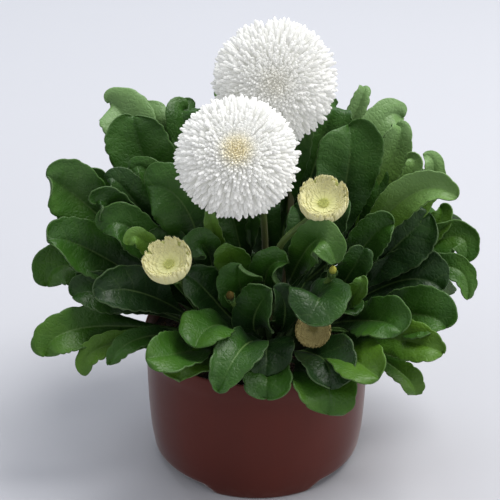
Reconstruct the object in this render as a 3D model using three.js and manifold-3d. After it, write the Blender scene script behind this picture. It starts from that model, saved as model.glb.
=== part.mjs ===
// A pompon English daisy growing in a round plastic nursery pot, in millimetres, +Z up.
// The origin is the centre of the pot's underside, and the plant's front faces -Y.
import * as THREE from 'three';
import { mergeVertices } from 'three/addons/utils/BufferGeometryUtils.js';
import Module from 'manifold-3d';

const wasm = await Module();
wasm.setup();

// Pot
const RIM_RADIUS = 53.6;
const POT_HEIGHT = 66;
const WALL_RADIUS = 52.8;
const BASE_RADIUS = 49.5;
const WALL = 1.4;
const LIP_DEPTH = 9;
const FOOT_RISE = 3.5;
const FEET = 3;
const ARCH_HALF_ANGLE = 32;
const ARCH_HEIGHT = 4.2;
const DRAINS = 4;
const DRAIN_RADIUS = 3.5;
const FOOT_INNER = 44;
const OUTER_WALL = [[49.5, 0.6], [50.4, 5], [51.8, 15], [52.8, 38]];
const POT_SIDES = 24;

// Potting mix and crown of the plant
const SOIL_TOP = 60.5;
const SOIL_BOTTOM = 6.3;
const FIT_GAP = 0.3;
const CROWN_AT = [4, 6];
const CROWN_RADIUS = 29;
const CROWN_BOTTOM = 52;
const CROWN_TOP = 61;
const CROWN_MOUND = 19;
const CROWN = { middle: [4, 6], left: [-17, 2], right: [24, 8], front: [6, -14], back: [4, 28] };

// Leaves
const HEART_AT = 0.66;
const STALK_HALF_WIDTH = 1.3;
const BLADE_THICKNESS = 0.7;
const STALK_THICKNESS = 1.6;
const CUP = 0.1;
const FOLD = 0.08;
const RIPPLE = 0.8;
const RIPPLES_PER_LEAF = 2.2;
const SCALLOP = 0.05;
const WIDE_LEAF = 29;
const NARROW_LEAF = 25;
const SLIM_LEAF = 10.5;
const TOWARDS_FRONT = new THREE.Vector3(0, -0.86, 0.5);

// Flower heads
const BLOOM_RADIUS = 27.5;
const BLOOM_DOME = 19.5;
const BLOOM_BALL_DETAIL = 2;
const BLOOM_CORE = 0.62;
const BLOOM_SKIRT_ANGLE = 112;
const BLOOM_BASE = 5.2;
const BUD_RADIUS = 10.4;
const STALK_RADIUS = 1.7;
const GOLDEN_ANGLE = Math.PI * (3 - Math.sqrt(5));

const UP = new THREE.Vector3(0, 0, 1);
const vec = (x, y, z) => new THREE.Vector3(x, y, z);

// Each leaf: crown, widest place (x, y, z), tip (x, y, z), width, lean to the front, bluntness
const LEAVES = [
  [CROWN.back, -30, 50, 146, -30, 58, 153, 18, 0.7, 2.4],
  [CROWN.back, -15, 50, 157, -17, 58, 163, 10, 0.7, 2.4],
  [CROWN.back, -46, 44, 148, -59, 50, 153, 20, 0.6, 2.4],
  [CROWN.back, -34, 38, 151, -34, 46, 157, 18, 0.8, 2.4],
  [CROWN.left, -61, 38, 154, -71, 44, 161, 24, 0.9, 2.4],
  [CROWN.left, -54, 22, 148, -57, 28, 161, 29, 1.0, 3],
  [CROWN.left, -48, 8, 141, -58, 6, 144, 12, 1.2, 1.6],
  [CROWN.left, -71, 8, 133, -79, 9, 141, 15, 0.9, 2.4],
  [CROWN.left, -83, -4, 137, -95, -8, 147, 26, 0.95, 3],
  [CROWN.left, -60, 2, 136, -68, 2, 141, 16, 0.9, 2.4],
  [CROWN.left, -65, -9, 132, -72, -11, 136, 17, 0.9, 2.4],
  [CROWN.left, -59, -14, 126, -70, -18, 125, 19, 0.9, 2.4],
  [CROWN.left, -51, -24, 124, -57, -26, 124, 9, 0.9, 2.4],
  [CROWN.left, -80, -14, 116, -94, -22, 122, 25, 0.8, 2.4],
  [CROWN.left, -88, -6, 101, -97, -10, 93, 20, 0.8, 2.4],
  [CROWN.left, -72, -12, 95, -83, -14, 99, 18, 0.8, 2.4],
  [CROWN.left, -73, -22, 96, -84, -26, 96, 18, 0.8, 2.4],
  [CROWN.left, -87, -34, 82, -96, -42, 74, 19, 0.95, 3],
  [CROWN.left, -58, -30, 102, -72, -36, 102, 21, 0.8, 2],
  [CROWN.front, -72, -38, 76, -78, -44, 65, 11, 0.8, 1.5],
  [CROWN.left, -58, -40, 80, -67, -46, 72, 10, 0.8, 1.4],
  [CROWN.front, -30, -53, 79, -34, -65, 77, 26, 0.3, 2.4],
  [CROWN.left, -35, -60, 87, -48, -70, 90, 22, 0.6, 3],
  [CROWN.front, -21, -50, 95, -27, -62, 91, 21, 0.4, 3],
  [CROWN.front, 4, -58, 74, 4, -66, 67, 21, 0.3, 3],
  [CROWN.front, 4, -46, 81, 4, -58, 74, 24, 0.3, 2.4],
  [CROWN.front, -8, -60, 88, -17, -74, 76, 20, 0.5, 1.4],
  [CROWN.front, 30, -59, 69, 31, -69, 61, 28, 0.3, 3],
  [CROWN.front, 30, -53, 78, 32, -65, 72, 25, 0.3, 2.4],
  [CROWN.right, 43, -54, 81, 53, -67, 79, 24, 0.6, 3],
  [CROWN.right, 40, -30, 92, 44, -39, 94, 16, 0.3, 2.4],
  [CROWN.front, 27, -49, 110, 21, -61, 103, 25, 0.5, 3],
  [CROWN.right, 55, -42, 93, 63, -51, 92, 22, 0.7, 3],
  [CROWN.right, 44, -34, 103, 46, -34, 111, 9, 0.7, 2.4],
  [CROWN.right, 70, -41, 81, 82, -47, 79, 19, 0.9, 1.8],
  [CROWN.right, 68, -34, 59, 74, -40, 50, 11, 0.6, 2.4],
  [CROWN.right, 76, -32, 90, 85, -40, 88, 24, 0.8, 3],
  [CROWN.right, 72, -8, 95, 86, -15, 94, 28, 0.8, 2.4],
  [CROWN.right, 67, 0, 111, 80, 2, 124, 27, 0.9, 2.4],
  [CROWN.right, 84, 14, 111, 86, 18, 120, 12, 0.9, 2.4],
  [CROWN.right, 93, 10, 108, 98, 4, 98, 15, 0.9, 1.5],
  [CROWN.right, 91, -4, 99, 98, -10, 86, 12, 0.9, 1.5],
  [CROWN.right, 72, 0, 136, 90, -8, 137, 17, 0.9, 1.6],
  [CROWN.right, 80, 8, 138, 77, 14, 148, 12, 0.9, 1.4],
  [CROWN.right, 71, 20, 133, 72, 26, 140, 9, 0.9, 2.4],
  [CROWN.right, 65, 30, 143, 67, 36, 152, 15, 0.9, 2.4],
  [CROWN.right, 58, 44, 150, 71, 50, 151, 17, 0.9, 3],
  [CROWN.right, 43, 20, 145, 42, 26, 159, 30, 1.0, 3],
  [CROWN.back, 48, 48, 157, 51, 54, 164, 8, 0.7, 2.4],
  [CROWN.back, 33, 40, 151, 37, 48, 157, 24, 0.9, 2.4],
  [CROWN.back, 20, 28, 151, 25, 36, 160, 12, 0.9, 2.4],
  [CROWN.back, 55, 22, 117, 56, 29, 133, 20, 0.9, 2.4],
  [CROWN.right, 53, -8, 118, 62, -10, 125, 18, 0.9, 2.4],
  [CROWN.right, 45, -20, 111, 48, -20, 119, 14, 0.9, 2.4],
  [CROWN.middle, 27, -38, 132, 34, -46, 124, 17, 0.9, 1.6],
  [CROWN.front, 5, -28, 112, 13, -34, 119, 17, 0.8, 1.5],
  [CROWN.front, -12, -22, 113, -13, -22, 121, 16, 0.7, 2.4],
  [CROWN.front, -8, -32, 107, -8, -34, 117, 21, 0.7, 2.4],
  [CROWN.left, -24, -18, 118, -31, -22, 116, 14, 0.9, 2.4],
  [CROWN.front, -24, -28, 101, -32, -32, 112, 20, 0.7, 2.4],
  [CROWN.front, -1, -40, 96, 6, -44, 110, 21, 0.7, 2.4],
  [CROWN.front, 12, -40, 101, 7, -42, 110, 12, 0.7, 2.4],
  [CROWN.left, -35, -4, 134, -50, 0, 139, 27, 1.0, 3],
  [CROWN.middle, -20, -12, 122, -21, -8, 130, 7, 0.6, 2.4],
  [CROWN.left, -39, -10, 114, -49, -14, 119, 14, 0.9, 2.4],
  [CROWN.middle, 33, -4, 124, 41, -2, 133, 16, 0.9, 2.4],
  [CROWN.middle, -26, -10, 101, -38, -8, 111, 18, 0.9, 2.4],
  [CROWN.middle, 20, -8, 120, 17, -4, 131, 16, 0.9, 2.4],
  [CROWN.back, 10, 78, 118, 12, 96, 112, 26, -0.6, 2.8],
  [CROWN.back, -18, 74, 126, -24, 92, 121, 25, -0.6, 2.8],
  [CROWN.back, 37, 72, 127, 46, 88, 122, 25, -0.6, 2.8],
  [CROWN.back, -46, 62, 119, -57, 76, 112, 25, -0.5, 2.8],
  [CROWN.back, 63, 54, 116, 77, 65, 110, 25, -0.5, 2.4],
  [CROWN.left, -66, 40, 110, -82, 50, 102, 24, -0.4, 2.8],
  [CROWN.right, 82, 32, 104, 96, 40, 96, 21, -0.3, 2.4],
  [CROWN.back, -6, 74, 90, -8, 88, 78, 24, -0.7, 3],
  [CROWN.back, 26, 72, 88, 32, 85, 76, 24, -0.7, 3],
  [CROWN.back, -34, 62, 84, -44, 74, 71, 22, -0.6, 3],
  [CROWN.back, 54, 54, 82, 64, 64, 69, 23, -0.6, 3],
  [CROWN.left, -62, 32, 82, -77, 40, 70, 21, -0.5, 3],
  [CROWN.right, 80, 18, 80, 93, 24, 68, 19, -0.4, 2.4],
  [CROWN.back, 4, 62, 139, 2, 78, 141, 23, -0.2, 2.4],
  [CROWN.back, -22, 58, 141, -28, 71, 144, 20, -0.2, 2.4],
  [CROWN.back, -11, 28, 108, -12, 31, 116, 22, 0.8, 2.4],
  [CROWN.back, 5, 30, 105, 6, 34, 113, 20, 0.8, 2.4],
  [CROWN.left, -41, -6, 93, -49, -10, 97, 15, 0.9, 2.4],
];

// Flower stalks, each a row of points from the crown to the head
const BLOOM_FRONT = { at: vec(-9, -17, 161), facing: vec(0, -0.8, 0.6), scale: 1, seed: 3 };
const BLOOM_BACK = { at: vec(8, 26, 179.5), facing: vec(0, -0.94, 0.34), scale: 1.045, seed: 8 };
const BUD_LEFT = { at: vec(-39, -38, 120), facing: vec(-0.25, -0.45, 0.86), scale: 1, seed: 5 };
const BUD_RIGHT = { at: vec(29, -26, 144), facing: vec(-0.1, -0.5, 0.86), scale: 1.02, seed: 6 };
const BUD_LOW = { at: vec(25, -42, 88.8), facing: vec(-0.1, -0.93, 0.32), scale: 0.74, seed: 7 };
const CLOSED_BUD_CENTRE = { at: vec(-12, -44, 107), facing: vec(-0.1, -0.5, 0.86), radius: 2.1 };
const CLOSED_BUD_RIGHT = { at: vec(33, -41, 118), facing: vec(0.1, -0.3, 0.95), radius: 1.9 };
const BLOOM_FRONT_STALK = [vec(3, 4, 57), vec(4, 7, 95), vec(2, 6, 128), vec(-5, 1, 145)];
const BLOOM_BACK_STALK = [vec(11, 12, 57), vec(16, 22, 110), vec(14, 42, 153), vec(9, 46, 169)];
const BUD_LEFT_STALK = [vec(-19, -2, 57), vec(-27, -14, 92), vec(-34, -29, 106)];
const BUD_RIGHT_STALK = [vec(5, -12, 57), vec(6, -17, 95), vec(10, -21, 119), vec(22, -24, 134)];
const BUD_LOW_STALK = [vec(9, -14, 57), vec(18, -22, 84)];
const CLOSED_CENTRE_STALK = [vec(2, -12, 57), vec(-7, -30, 88)];
const CLOSED_RIGHT_STALK = [vec(8, -14, 57), vec(20, -26, 88), vec(29, -35, 106)];

const smooth = (x) => THREE.MathUtils.smoothstep(x, 0, 1);

// Seeded random numbers from 0 to 1, the same on every run
function randomFrom(seed) {
  let state = seed * 2654435761;
  return () => {
    state = (Math.imul(state ^ (state >>> 15), 1 | state) + 0x6d2b79f5) | 0;
    let mixed = Math.imul(state ^ (state >>> 15), 1 | state);
    mixed = (mixed + Math.imul(mixed ^ (mixed >>> 7), 61 | mixed)) ^ mixed;
    return ((mixed ^ (mixed >>> 14)) >>> 0) / 4294967296;
  };
}

// A closed three.js geometry as a solid that can be joined and cut
function solid(geometry) {
  const bare = geometry.clone();
  bare.deleteAttribute('normal');
  bare.deleteAttribute('uv');
  const merged = mergeVertices(bare, 1e-4);
  const mesh = new wasm.Mesh({
    numProp: 3,
    vertProperties: new Float32Array(merged.attributes.position.array),
    triVerts: new Uint32Array(merged.index.array),
  });
  return new wasm.Manifold(mesh);
}

// The one outer body of a solid: hollows that joining sealed are filled and loose scrap is dropped
function outerBody(body) {
  const pieces = body.decompose();
  pieces.sort((a, b) => b.volume() - a.volume());
  return pieces[0];
}

function geometryOf(body) {
  const mesh = body.getMesh();
  const geometry = new THREE.BufferGeometry();
  geometry.setAttribute('position', new THREE.Float32BufferAttribute(mesh.vertProperties, 3));
  geometry.setIndex(Array.from(mesh.triVerts));
  geometry.computeVertexNormals();
  return geometry;
}

function joined(bodies) {
  let list = bodies;
  while (list.length > 1) {
    const next = [];
    for (let i = 0; i < list.length; i += 2) {
      next.push(i + 1 < list.length ? list[i].add(list[i + 1]) : list[i]);
    }
    list = next;
  }
  return list[0];
}

// Lathe profiles are turned from three.js's Y axis to the part's Z axis
function turned(profile, sides) {
  const points = profile.map(([radius, height]) => new THREE.Vector2(radius, height));
  return new THREE.LatheGeometry(points, sides).rotateX(Math.PI / 2);
}

// A closed sheet: a grid of points given by a rule, thickened, with both faces split alike
function sheet(across, along, pointAt, thicknessAt) {
  const positions = [];
  const normal = vec(0, 0, 0);
  const step = 1e-3;
  for (const face of [1, -1]) {
    for (let j = 0; j <= along; j += 1) {
      for (let i = 0; i <= across; i += 1) {
        const u = (2 * i) / across - 1;
        const v = j / along;
        const side = pointAt(Math.min(1, u + step), v).sub(pointAt(Math.max(-1, u - step), v));
        const ahead = pointAt(u, Math.min(1, v + step)).sub(pointAt(u, Math.max(0, v - step)));
        normal.crossVectors(side, ahead).normalize();
        const point = pointAt(u, v).addScaledVector(normal, (face * thicknessAt(v)) / 2);
        positions.push(point.x, point.y, point.z);
      }
    }
  }
  const columns = across + 1;
  const layer = columns * (along + 1);
  const index = [];
  const quad = (a, b, c, d) => index.push(a, b, c, a, c, d);
  for (let j = 0; j < along; j += 1) {
    for (let i = 0; i < across; i += 1) {
      const a = j * columns + i;
      const corners = [a, a + 1, a + 1 + columns, a + columns];
      const [p, q, r, s] = corners;
      quad(p, q, r, s);
      index.push(p + layer, r + layer, q + layer, p + layer, s + layer, r + layer);
    }
  }
  for (let j = 0; j < along; j += 1) {
    const left = j * columns;
    const right = left + across;
    quad(left, left + columns, left + columns + layer, left + layer);
    quad(right, right + layer, right + columns + layer, right + columns);
  }
  for (let i = 0; i < across; i += 1) {
    const last = along * columns + i;
    quad(i, i + layer, i + 1 + layer, i + 1);
    quad(last, last + 1, last + 1 + layer, last + layer);
  }
  const geometry = new THREE.BufferGeometry();
  geometry.setAttribute('position', new THREE.Float32BufferAttribute(positions, 3));
  geometry.setIndex(index);
  return geometry;
}

// Leaves that pass low over the pot are lifted clear of its rim
function clearOfPot(point) {
  const inside = 30;
  const outside = 58;
  const overRim = POT_HEIGHT + 3.5;
  const radius = Math.hypot(point.x, point.y);
  if (radius < inside) return point;
  let floor = overRim - (radius - outside) * 3;
  if (radius < outside) {
    floor = THREE.MathUtils.lerp(SOIL_TOP + 3, overRim, smooth((radius - inside) / 16));
  }
  point.z = Math.max(point.z, floor);
  return point;
}

// A spoon-shaped leaf: a curved midrib from the crown, a narrow stalk and a broad waved blade
function leafSurface([crown, hx, hy, hz, tx, ty, tz, width, lean, bluntness], number) {
  const heart = vec(hx, hy, hz);
  const tip = vec(tx, ty, tz);
  const out = vec(tx - crown[0], ty - crown[1], 0).normalize();
  const root = vec(crown[0], crown[1], SOIL_TOP - 0.5).addScaledVector(out, 5);
  const back = (1 - HEART_AT) ** 2;
  const front = HEART_AT ** 2;
  const bend = heart.clone().addScaledVector(root, -back).addScaledVector(tip, -front);
  bend.divideScalar(2 * HEART_AT * (1 - HEART_AT));
  const midrib = new THREE.QuadraticBezierCurve3(root, bend, tip);
  const inward = vec(CROWN_AT[0] - root.x, CROWN_AT[1] - root.y, 0).normalize();
  const stalkFace = inward.addScaledVector(UP, 0.5).normalize();
  const bladeFace = UP.clone().multiplyScalar(1 - lean).addScaledVector(TOWARDS_FRONT, lean).normalize();
  const phase = number * 2.4;
  const lengths = midrib.getLengths(100);
  const total = lengths[100];
  const heartAlong = lengths[Math.round(HEART_AT * 100)] / total;
  return (u, v) => {
    const s = 1 - (1 - v) ** 1.35;
    const centre = midrib.getPointAt(s);
    const ahead = midrib.getTangentAt(s);
    const turn = smooth((s - 0.1) / 0.5);
    const normal = stalkFace.clone().lerp(bladeFace, turn);
    normal.addScaledVector(ahead, -normal.dot(ahead)).normalize();
    const side = vec(0, 0, 0).crossVectors(ahead, normal);
    const half = halfWidth(s, heartAlong, width, bluntness);
    const blade = smooth((s - 0.3) / 0.3);
    const wave = RIPPLE * Math.sin(2 * Math.PI * RIPPLES_PER_LEAF * s + phase + (u > 0 ? 1.7 : 0));
    const cupped = 2 * half * (FOLD * Math.abs(u) ** 1.3 + CUP * u * u);
    const rise = blade * (cupped + wave * u * u);
    return clearOfPot(centre.addScaledVector(side, half * u).addScaledVector(normal, rise));
  };
}

function halfWidth(s, heartAlong, width, bluntness) {
  const widest = width / 2;
  if (s < heartAlong) {
    const start = 0.3 * heartAlong;
    const grown = smooth((s - start) / (heartAlong - start)) ** 1.15;
    return THREE.MathUtils.lerp(STALK_HALF_WIDTH, widest, grown);
  }
  const past = (s - heartAlong) / (1 - heartAlong);
  const rounded = widest * Math.sqrt(Math.max(0, 1 - past ** bluntness));
  const scallop = 1 - SCALLOP * Math.cos(past * 12) ** 2;
  return Math.max(rounded * scallop, widest * 0.06 * bluntness);
}

function leaf(row, number) {
  const [width, lean] = [row[7], row[8]];
  const across = width >= WIDE_LEAF ? 4 : 2;
  const rows = width < NARROW_LEAF ? 5 : 6;
  const plain = width < SLIM_LEAF || lean < 0;
  const along = plain ? 4 : rows;
  const thickness = (v) => THREE.MathUtils.lerp(STALK_THICKNESS, BLADE_THICKNESS, smooth(v / 0.4));
  return solid(sheet(across, along, leafSurface(row, number), thickness));
}

// A round stalk that ends in a cup of bracts under its head
function stalk(points, head, cup) {
  const away = head.facing.clone().normalize();
  const end = head.at.clone().addScaledVector(away, -cup.behind);
  const path = new THREE.CatmullRomCurve3([...points, end]);
  const section = new THREE.Shape(new THREE.EllipseCurve(0, 0, STALK_RADIUS, STALK_RADIUS).getPoints(5));
  const settings = { steps: 4, bevelEnabled: false, extrudePath: path };
  const tube = solid(new THREE.ExtrudeGeometry(section, settings));
  const profile = cup.profile.map(([radius, height]) => [radius, height]);
  const bowl = turned(profile, cup.sides);
  bowl.applyQuaternion(new THREE.Quaternion().setFromUnitVectors(UP, away));
  bowl.translate(head.at.x, head.at.y, head.at.z);
  return tube.add(solid(bowl));
}

function bloomCup(scale) {
  const top = -(BLOOM_BASE * scale + FIT_GAP);
  return {
    behind: 15 * scale,
    sides: 8,
    profile: [[0, top - 10.5], [2.6, top - 10], [5, top - 6], [9.5, top - 1.6], [9, top], [0, top]],
  };
}

function budCup(scale) {
  return {
    behind: 8 * scale,
    sides: 8,
    profile: [[0, -8.5], [2.4, -8.2], [6.4, -5.2], [6, -4.6], [0, -4.6]]
      .map(([radius, height]) => [radius * scale, height * scale]),
  };
}

function closedCup(radius) {
  return {
    behind: radius * 2.2,
    sides: 6,
    profile: [[0, -radius * 2.3], [radius * 0.9, -radius * 1.9], [radius, -radius * 1.35], [0, -radius * 1.35]],
  };
}

// The crown: the packed feet of all leaves, a mound that stands in the potting mix
function crown() {
  const mound = turned([
    [0, CROWN_BOTTOM], [CROWN_RADIUS - 3, CROWN_BOTTOM], [CROWN_RADIUS, CROWN_BOTTOM + 4],
    [CROWN_RADIUS - 0.5, CROWN_TOP], [CROWN_RADIUS - 5, CROWN_TOP + 0.35 * CROWN_MOUND],
    [CROWN_RADIUS - 14, CROWN_TOP + 0.75 * CROWN_MOUND], [0, CROWN_TOP + CROWN_MOUND],
  ], 14);
  return solid(mound.translate(CROWN_AT[0], CROWN_AT[1], 0));
}

// Leaves, flower stalks and their bracts grow from one crown and are one green piece
function leavesAndStalks() {
  const bodies = [crown()];
  LEAVES.forEach((row, number) => bodies.push(leaf(row, number)));
  bodies.push(stalk(BLOOM_FRONT_STALK, BLOOM_FRONT, bloomCup(BLOOM_FRONT.scale)));
  bodies.push(stalk(BLOOM_BACK_STALK, BLOOM_BACK, bloomCup(BLOOM_BACK.scale)));
  bodies.push(stalk(BUD_LEFT_STALK, BUD_LEFT, budCup(BUD_LEFT.scale)));
  bodies.push(stalk(BUD_RIGHT_STALK, BUD_RIGHT, budCup(BUD_RIGHT.scale)));
  bodies.push(stalk(BUD_LOW_STALK, BUD_LOW, budCup(BUD_LOW.scale)));
  bodies.push(stalk(CLOSED_CENTRE_STALK, CLOSED_BUD_CENTRE, closedCup(CLOSED_BUD_CENTRE.radius)));
  bodies.push(stalk(CLOSED_RIGHT_STALK, CLOSED_BUD_RIGHT, closedCup(CLOSED_BUD_RIGHT.radius)));
  return geometryOf(outerBody(joined(bodies)));
}

// One petal: a three-sided quill between two points, wider at its outer end
function quill(from, to, rootRadius, tipRadius, twist) {
  const along = to.clone().sub(from).normalize();
  const toAlong = new THREE.Quaternion().setFromUnitVectors(UP, along);
  const corners = [];
  for (const [end, radius] of [[from, rootRadius], [to, tipRadius]]) {
    for (let i = 0; i < 3; i += 1) {
      const around = twist + (2 * Math.PI * i) / 3;
      const corner = vec(radius * Math.cos(around), radius * Math.sin(around), 0);
      corners.push(corner.applyQuaternion(toAlong).add(end));
    }
  }
  const body = new THREE.BufferGeometry().setFromPoints(corners);
  body.setIndex([0, 2, 1, 3, 4, 5, 0, 1, 4, 0, 4, 3, 1, 2, 5, 1, 5, 4, 2, 0, 3, 2, 3, 5]);
  return solid(body);
}

function placed(body, head) {
  const geometry = geometryOf(outerBody(body));
  geometry.scale(head.scale, head.scale, head.scale);
  geometry.applyQuaternion(new THREE.Quaternion().setFromUnitVectors(UP, head.facing.clone().normalize()));
  geometry.translate(head.at.x, head.at.y, head.at.z);
  return geometry;
}

// How far the outside of a pompon lies from its middle, in a direction of unit length
function bloomReach(out) {
  const polar = Math.acos(THREE.MathUtils.clamp(out.z, -1, 1));
  const droop = 1 - 0.1 * smooth((polar - 1.4) / 0.5);
  return droop / Math.hypot(Math.sin(polar) / BLOOM_RADIUS, Math.cos(polar) / BLOOM_DOME);
}

// A pompon: each facet of a smaller core ball is drawn out into one three-sided quilled petal
function bloom(head) {
  const random = randomFrom(head.seed);
  const ball = new THREE.IcosahedronGeometry(1, BLOOM_BALL_DETAIL).rotateX(0.4).attributes.position;
  const skirt = Math.cos(THREE.MathUtils.degToRad(BLOOM_SKIRT_ANGLE));
  const points = [];
  const core = (out) => {
    const point = out.clone().normalize();
    point.multiplyScalar(BLOOM_CORE * bloomReach(point));
    point.z = Math.max(point.z, -BLOOM_BASE);
    return point;
  };
  const face = (...corners) => points.push(...corners);
  for (let i = 0; i < ball.count; i += 3) {
    const corners = [0, 1, 2].map((k) => new THREE.Vector3().fromBufferAttribute(ball, i + k).normalize());
    const middle = corners[0].clone().add(corners[1]).add(corners[2]).normalize();
    const length = 0.95 + 0.1 * random();
    if (middle.z < skirt) {
      face(...corners.map(core));
      continue;
    }
    const narrow = corners.map((corner) => corner.clone().lerp(middle, 0.4));
    const wide = corners.map((corner) => corner.clone().lerp(middle, 0.3).normalize());
    const ends = wide.map((out) => out.multiplyScalar(length * bloomReach(middle)));
    for (let k = 0; k < 3; k += 1) {
      const next = (k + 1) % 3;
      const [a, b] = [core(corners[k]), core(corners[next])];
      const [c, d] = [core(narrow[k]), core(narrow[next])];
      face(a, b, d);
      face(a, d, c);
      face(c, d, ends[next]);
      face(c, ends[next], ends[k]);
    }
    face(ends[0], ends[1], ends[2]);
  }
  return placed(solid(new THREE.BufferGeometry().setFromPoints(points)), head);
}

// A half-open bud: a cup of short upright petals round a low disc
function bud(head) {
  const random = randomFrom(head.seed);
  const bodies = [solid(turned([[0, -4.2], [4.4, -4.2], [6.4, -1.4], [6, 1], [0, 3.2]], 9))];
  const rings = [
    { count: 11, foot: 5.4, reach: BUD_RADIUS, low: -2.4, high: 4.6, wide: 2 },
    { count: 7, foot: 4.4, reach: 7.4, low: -1, high: 5.6, wide: 1.7 },
  ];
  rings.forEach(({ count, foot, reach, low, high, wide }, ring) => {
    for (let i = 0; i < count; i += 1) {
      const around = (2 * Math.PI * (i + ring / 2 + 0.2 * random())) / count;
      const out = vec(Math.cos(around), Math.sin(around), 0);
      const from = out.clone().multiplyScalar(foot).addScaledVector(UP, low);
      const to = out.clone().multiplyScalar(reach * (0.95 + 0.1 * random())).addScaledVector(UP, high);
      bodies.push(quill(from, to, 0.9, wide, around + Math.PI / 6));
    }
  });
  return placed(joined(bodies), head);
}

// A small bud that is still shut: a drop that stands on its cup
function closedBud(head) {
  const r = head.radius;
  const drop = turned([
    [0, -r * 1.35 + FIT_GAP], [r * 0.8, -r * 1.35 + FIT_GAP], [r, -r * 0.5], [r * 0.75, r * 0.7], [0, r * 1.6],
  ], 7);
  drop.applyQuaternion(new THREE.Quaternion().setFromUnitVectors(UP, head.facing.clone().normalize()));
  return drop.translate(head.at.x, head.at.y, head.at.z);
}

// The pot: one moulded piece with a lip, a raised floor, a foot ring cut into three feet and drain holes
function pot() {
  const lip = POT_HEIGHT - LIP_DEPTH;
  const floor = FOOT_RISE + 1.6;
  let body = solid(turned([
    [0, 0], [26, 0], [28.5, FOOT_RISE], [FOOT_INNER - 2, FOOT_RISE], [FOOT_INNER, 0], [BASE_RADIUS - 0.6, 0],
    ...OUTER_WALL, [WALL_RADIUS, lip - 0.6], [RIM_RADIUS, lip], [RIM_RADIUS, POT_HEIGHT],
    [RIM_RADIUS - WALL, POT_HEIGHT], [WALL_RADIUS - WALL, lip],
    ...OUTER_WALL.slice(2).reverse().map(([radius, height]) => [radius - WALL, height]),
    [BASE_RADIUS - WALL, floor + 1.4], [BASE_RADIUS - 4, floor], [30, floor], [27, 1.8], [0, 1.8],
  ], POT_SIDES));
  const degree = Math.PI / 180;
  for (let i = 0; i < FEET; i += 1) {
    const middle = (93 + (360 * i) / FEET) * degree;
    const half = ARCH_HALF_ANGLE * degree;
    const gap = new THREE.Shape();
    gap.absarc(0, 0, RIM_RADIUS + 5, middle - half, middle + half, false);
    gap.absarc(0, 0, FOOT_INNER - 1, middle + half, middle - half, true);
    const settings = { depth: ARCH_HEIGHT + 5, bevelEnabled: false, curveSegments: 3 };
    const arch = new THREE.ExtrudeGeometry(gap, settings).translate(0, 0, -5);
    body = body.subtract(solid(arch));
  }
  for (let i = 0; i < DRAINS; i += 1) {
    const drain = new THREE.CylinderGeometry(DRAIN_RADIUS, DRAIN_RADIUS, 20, 8).rotateX(Math.PI / 2);
    drain.translate(36, 0, 0).rotateZ((i * 2 * Math.PI) / DRAINS);
    body = body.subtract(solid(drain));
  }
  return geometryOf(outerBody(body));
}

// The potting mix fills the pot; its crumbly top has a plain hole where the crown stands
function pottingMix() {
  const beside = WALL + FIT_GAP + 0.2;
  const side = OUTER_WALL.slice(2).map(([radius, height]) => [radius - beside, height]);
  const random = randomFrom(11);
  const geometry = turned([
    [0, SOIL_BOTTOM - 3.6], [26, SOIL_BOTTOM - 3.6], [30, SOIL_BOTTOM - 0.6], [44, SOIL_BOTTOM],
    [47.6, 8], ...side, [WALL_RADIUS - beside, SOIL_TOP - 2], [46, SOIL_TOP - 0.6],
    [38, SOIL_TOP], [0, SOIL_TOP],
  ], 20);
  geometry.deleteAttribute('normal');
  geometry.deleteAttribute('uv');
  const merged = mergeVertices(geometry, 1e-3);
  const position = merged.attributes.position;
  for (let i = 0; i < position.count; i += 1) {
    const radius = Math.hypot(position.getX(i), position.getY(i));
    if (position.getZ(i) > SOIL_TOP - 2.5 && radius > 1) position.setZ(i, position.getZ(i) + 1.6 * random() - 1);
  }
  const hole = turned([
    [0, CROWN_BOTTOM - FIT_GAP], [CROWN_RADIUS + 0.4, CROWN_BOTTOM - FIT_GAP],
    [CROWN_RADIUS + 0.4, SOIL_TOP + 9], [0, SOIL_TOP + 9],
  ], 14).translate(CROWN_AT[0], CROWN_AT[1], 0);
  return geometryOf(outerBody(solid(merged).subtract(solid(hole))));
}

// A withered leaf that lies on the potting mix near the right of the rim
function driedLeaf() {
  const surface = (u, v) => {
    const half = 3.2 * Math.sin(Math.PI * (0.12 + 0.8 * v)) + 0.3;
    const x = 43 + half * u + 1.5 * v;
    const y = -12 + 17 * v;
    return vec(x, y, SOIL_TOP + 0.75 + 1.4 * u * u + 1.2 * Math.sin(4 * v));
  };
  return geometryOf(solid(sheet(2, 5, surface, () => BLADE_THICKNESS)));
}

function piece(name, geometry, color, roughness) {
  const material = new THREE.MeshStandardMaterial({ color, roughness, metalness: 0 });
  const mesh = new THREE.Mesh(geometry, material);
  mesh.name = name;
  return mesh;
}

const group = new THREE.Group();
group.add(piece('pot', pot(), 0x6b3d35, 0.42));
group.add(piece('potting_mix', pottingMix(), 0x2b211b, 0.95));
group.add(piece('leaves_and_stalks', leavesAndStalks(), 0x3f6b2a, 0.5));
group.add(piece('bloom_front', bloom(BLOOM_FRONT), 0xf4f4f2, 0.6));
group.add(piece('bloom_back', bloom(BLOOM_BACK), 0xf1f0ee, 0.6));
group.add(piece('bud_left', bud(BUD_LEFT), 0xefe9b4, 0.6));
group.add(piece('bud_right', bud(BUD_RIGHT), 0xefe9b4, 0.6));
group.add(piece('bud_low', bud(BUD_LOW), 0xe8d3ac, 0.6));
group.add(piece('closed_bud_centre', closedBud(CLOSED_BUD_CENTRE), 0xa98a3c, 0.6));
group.add(piece('closed_bud_right', closedBud(CLOSED_BUD_RIGHT), 0xb2ad3c, 0.6));
group.add(piece('dried_leaf', driedLeaf(), 0x7a4a2c, 0.85));

export default group;
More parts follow.
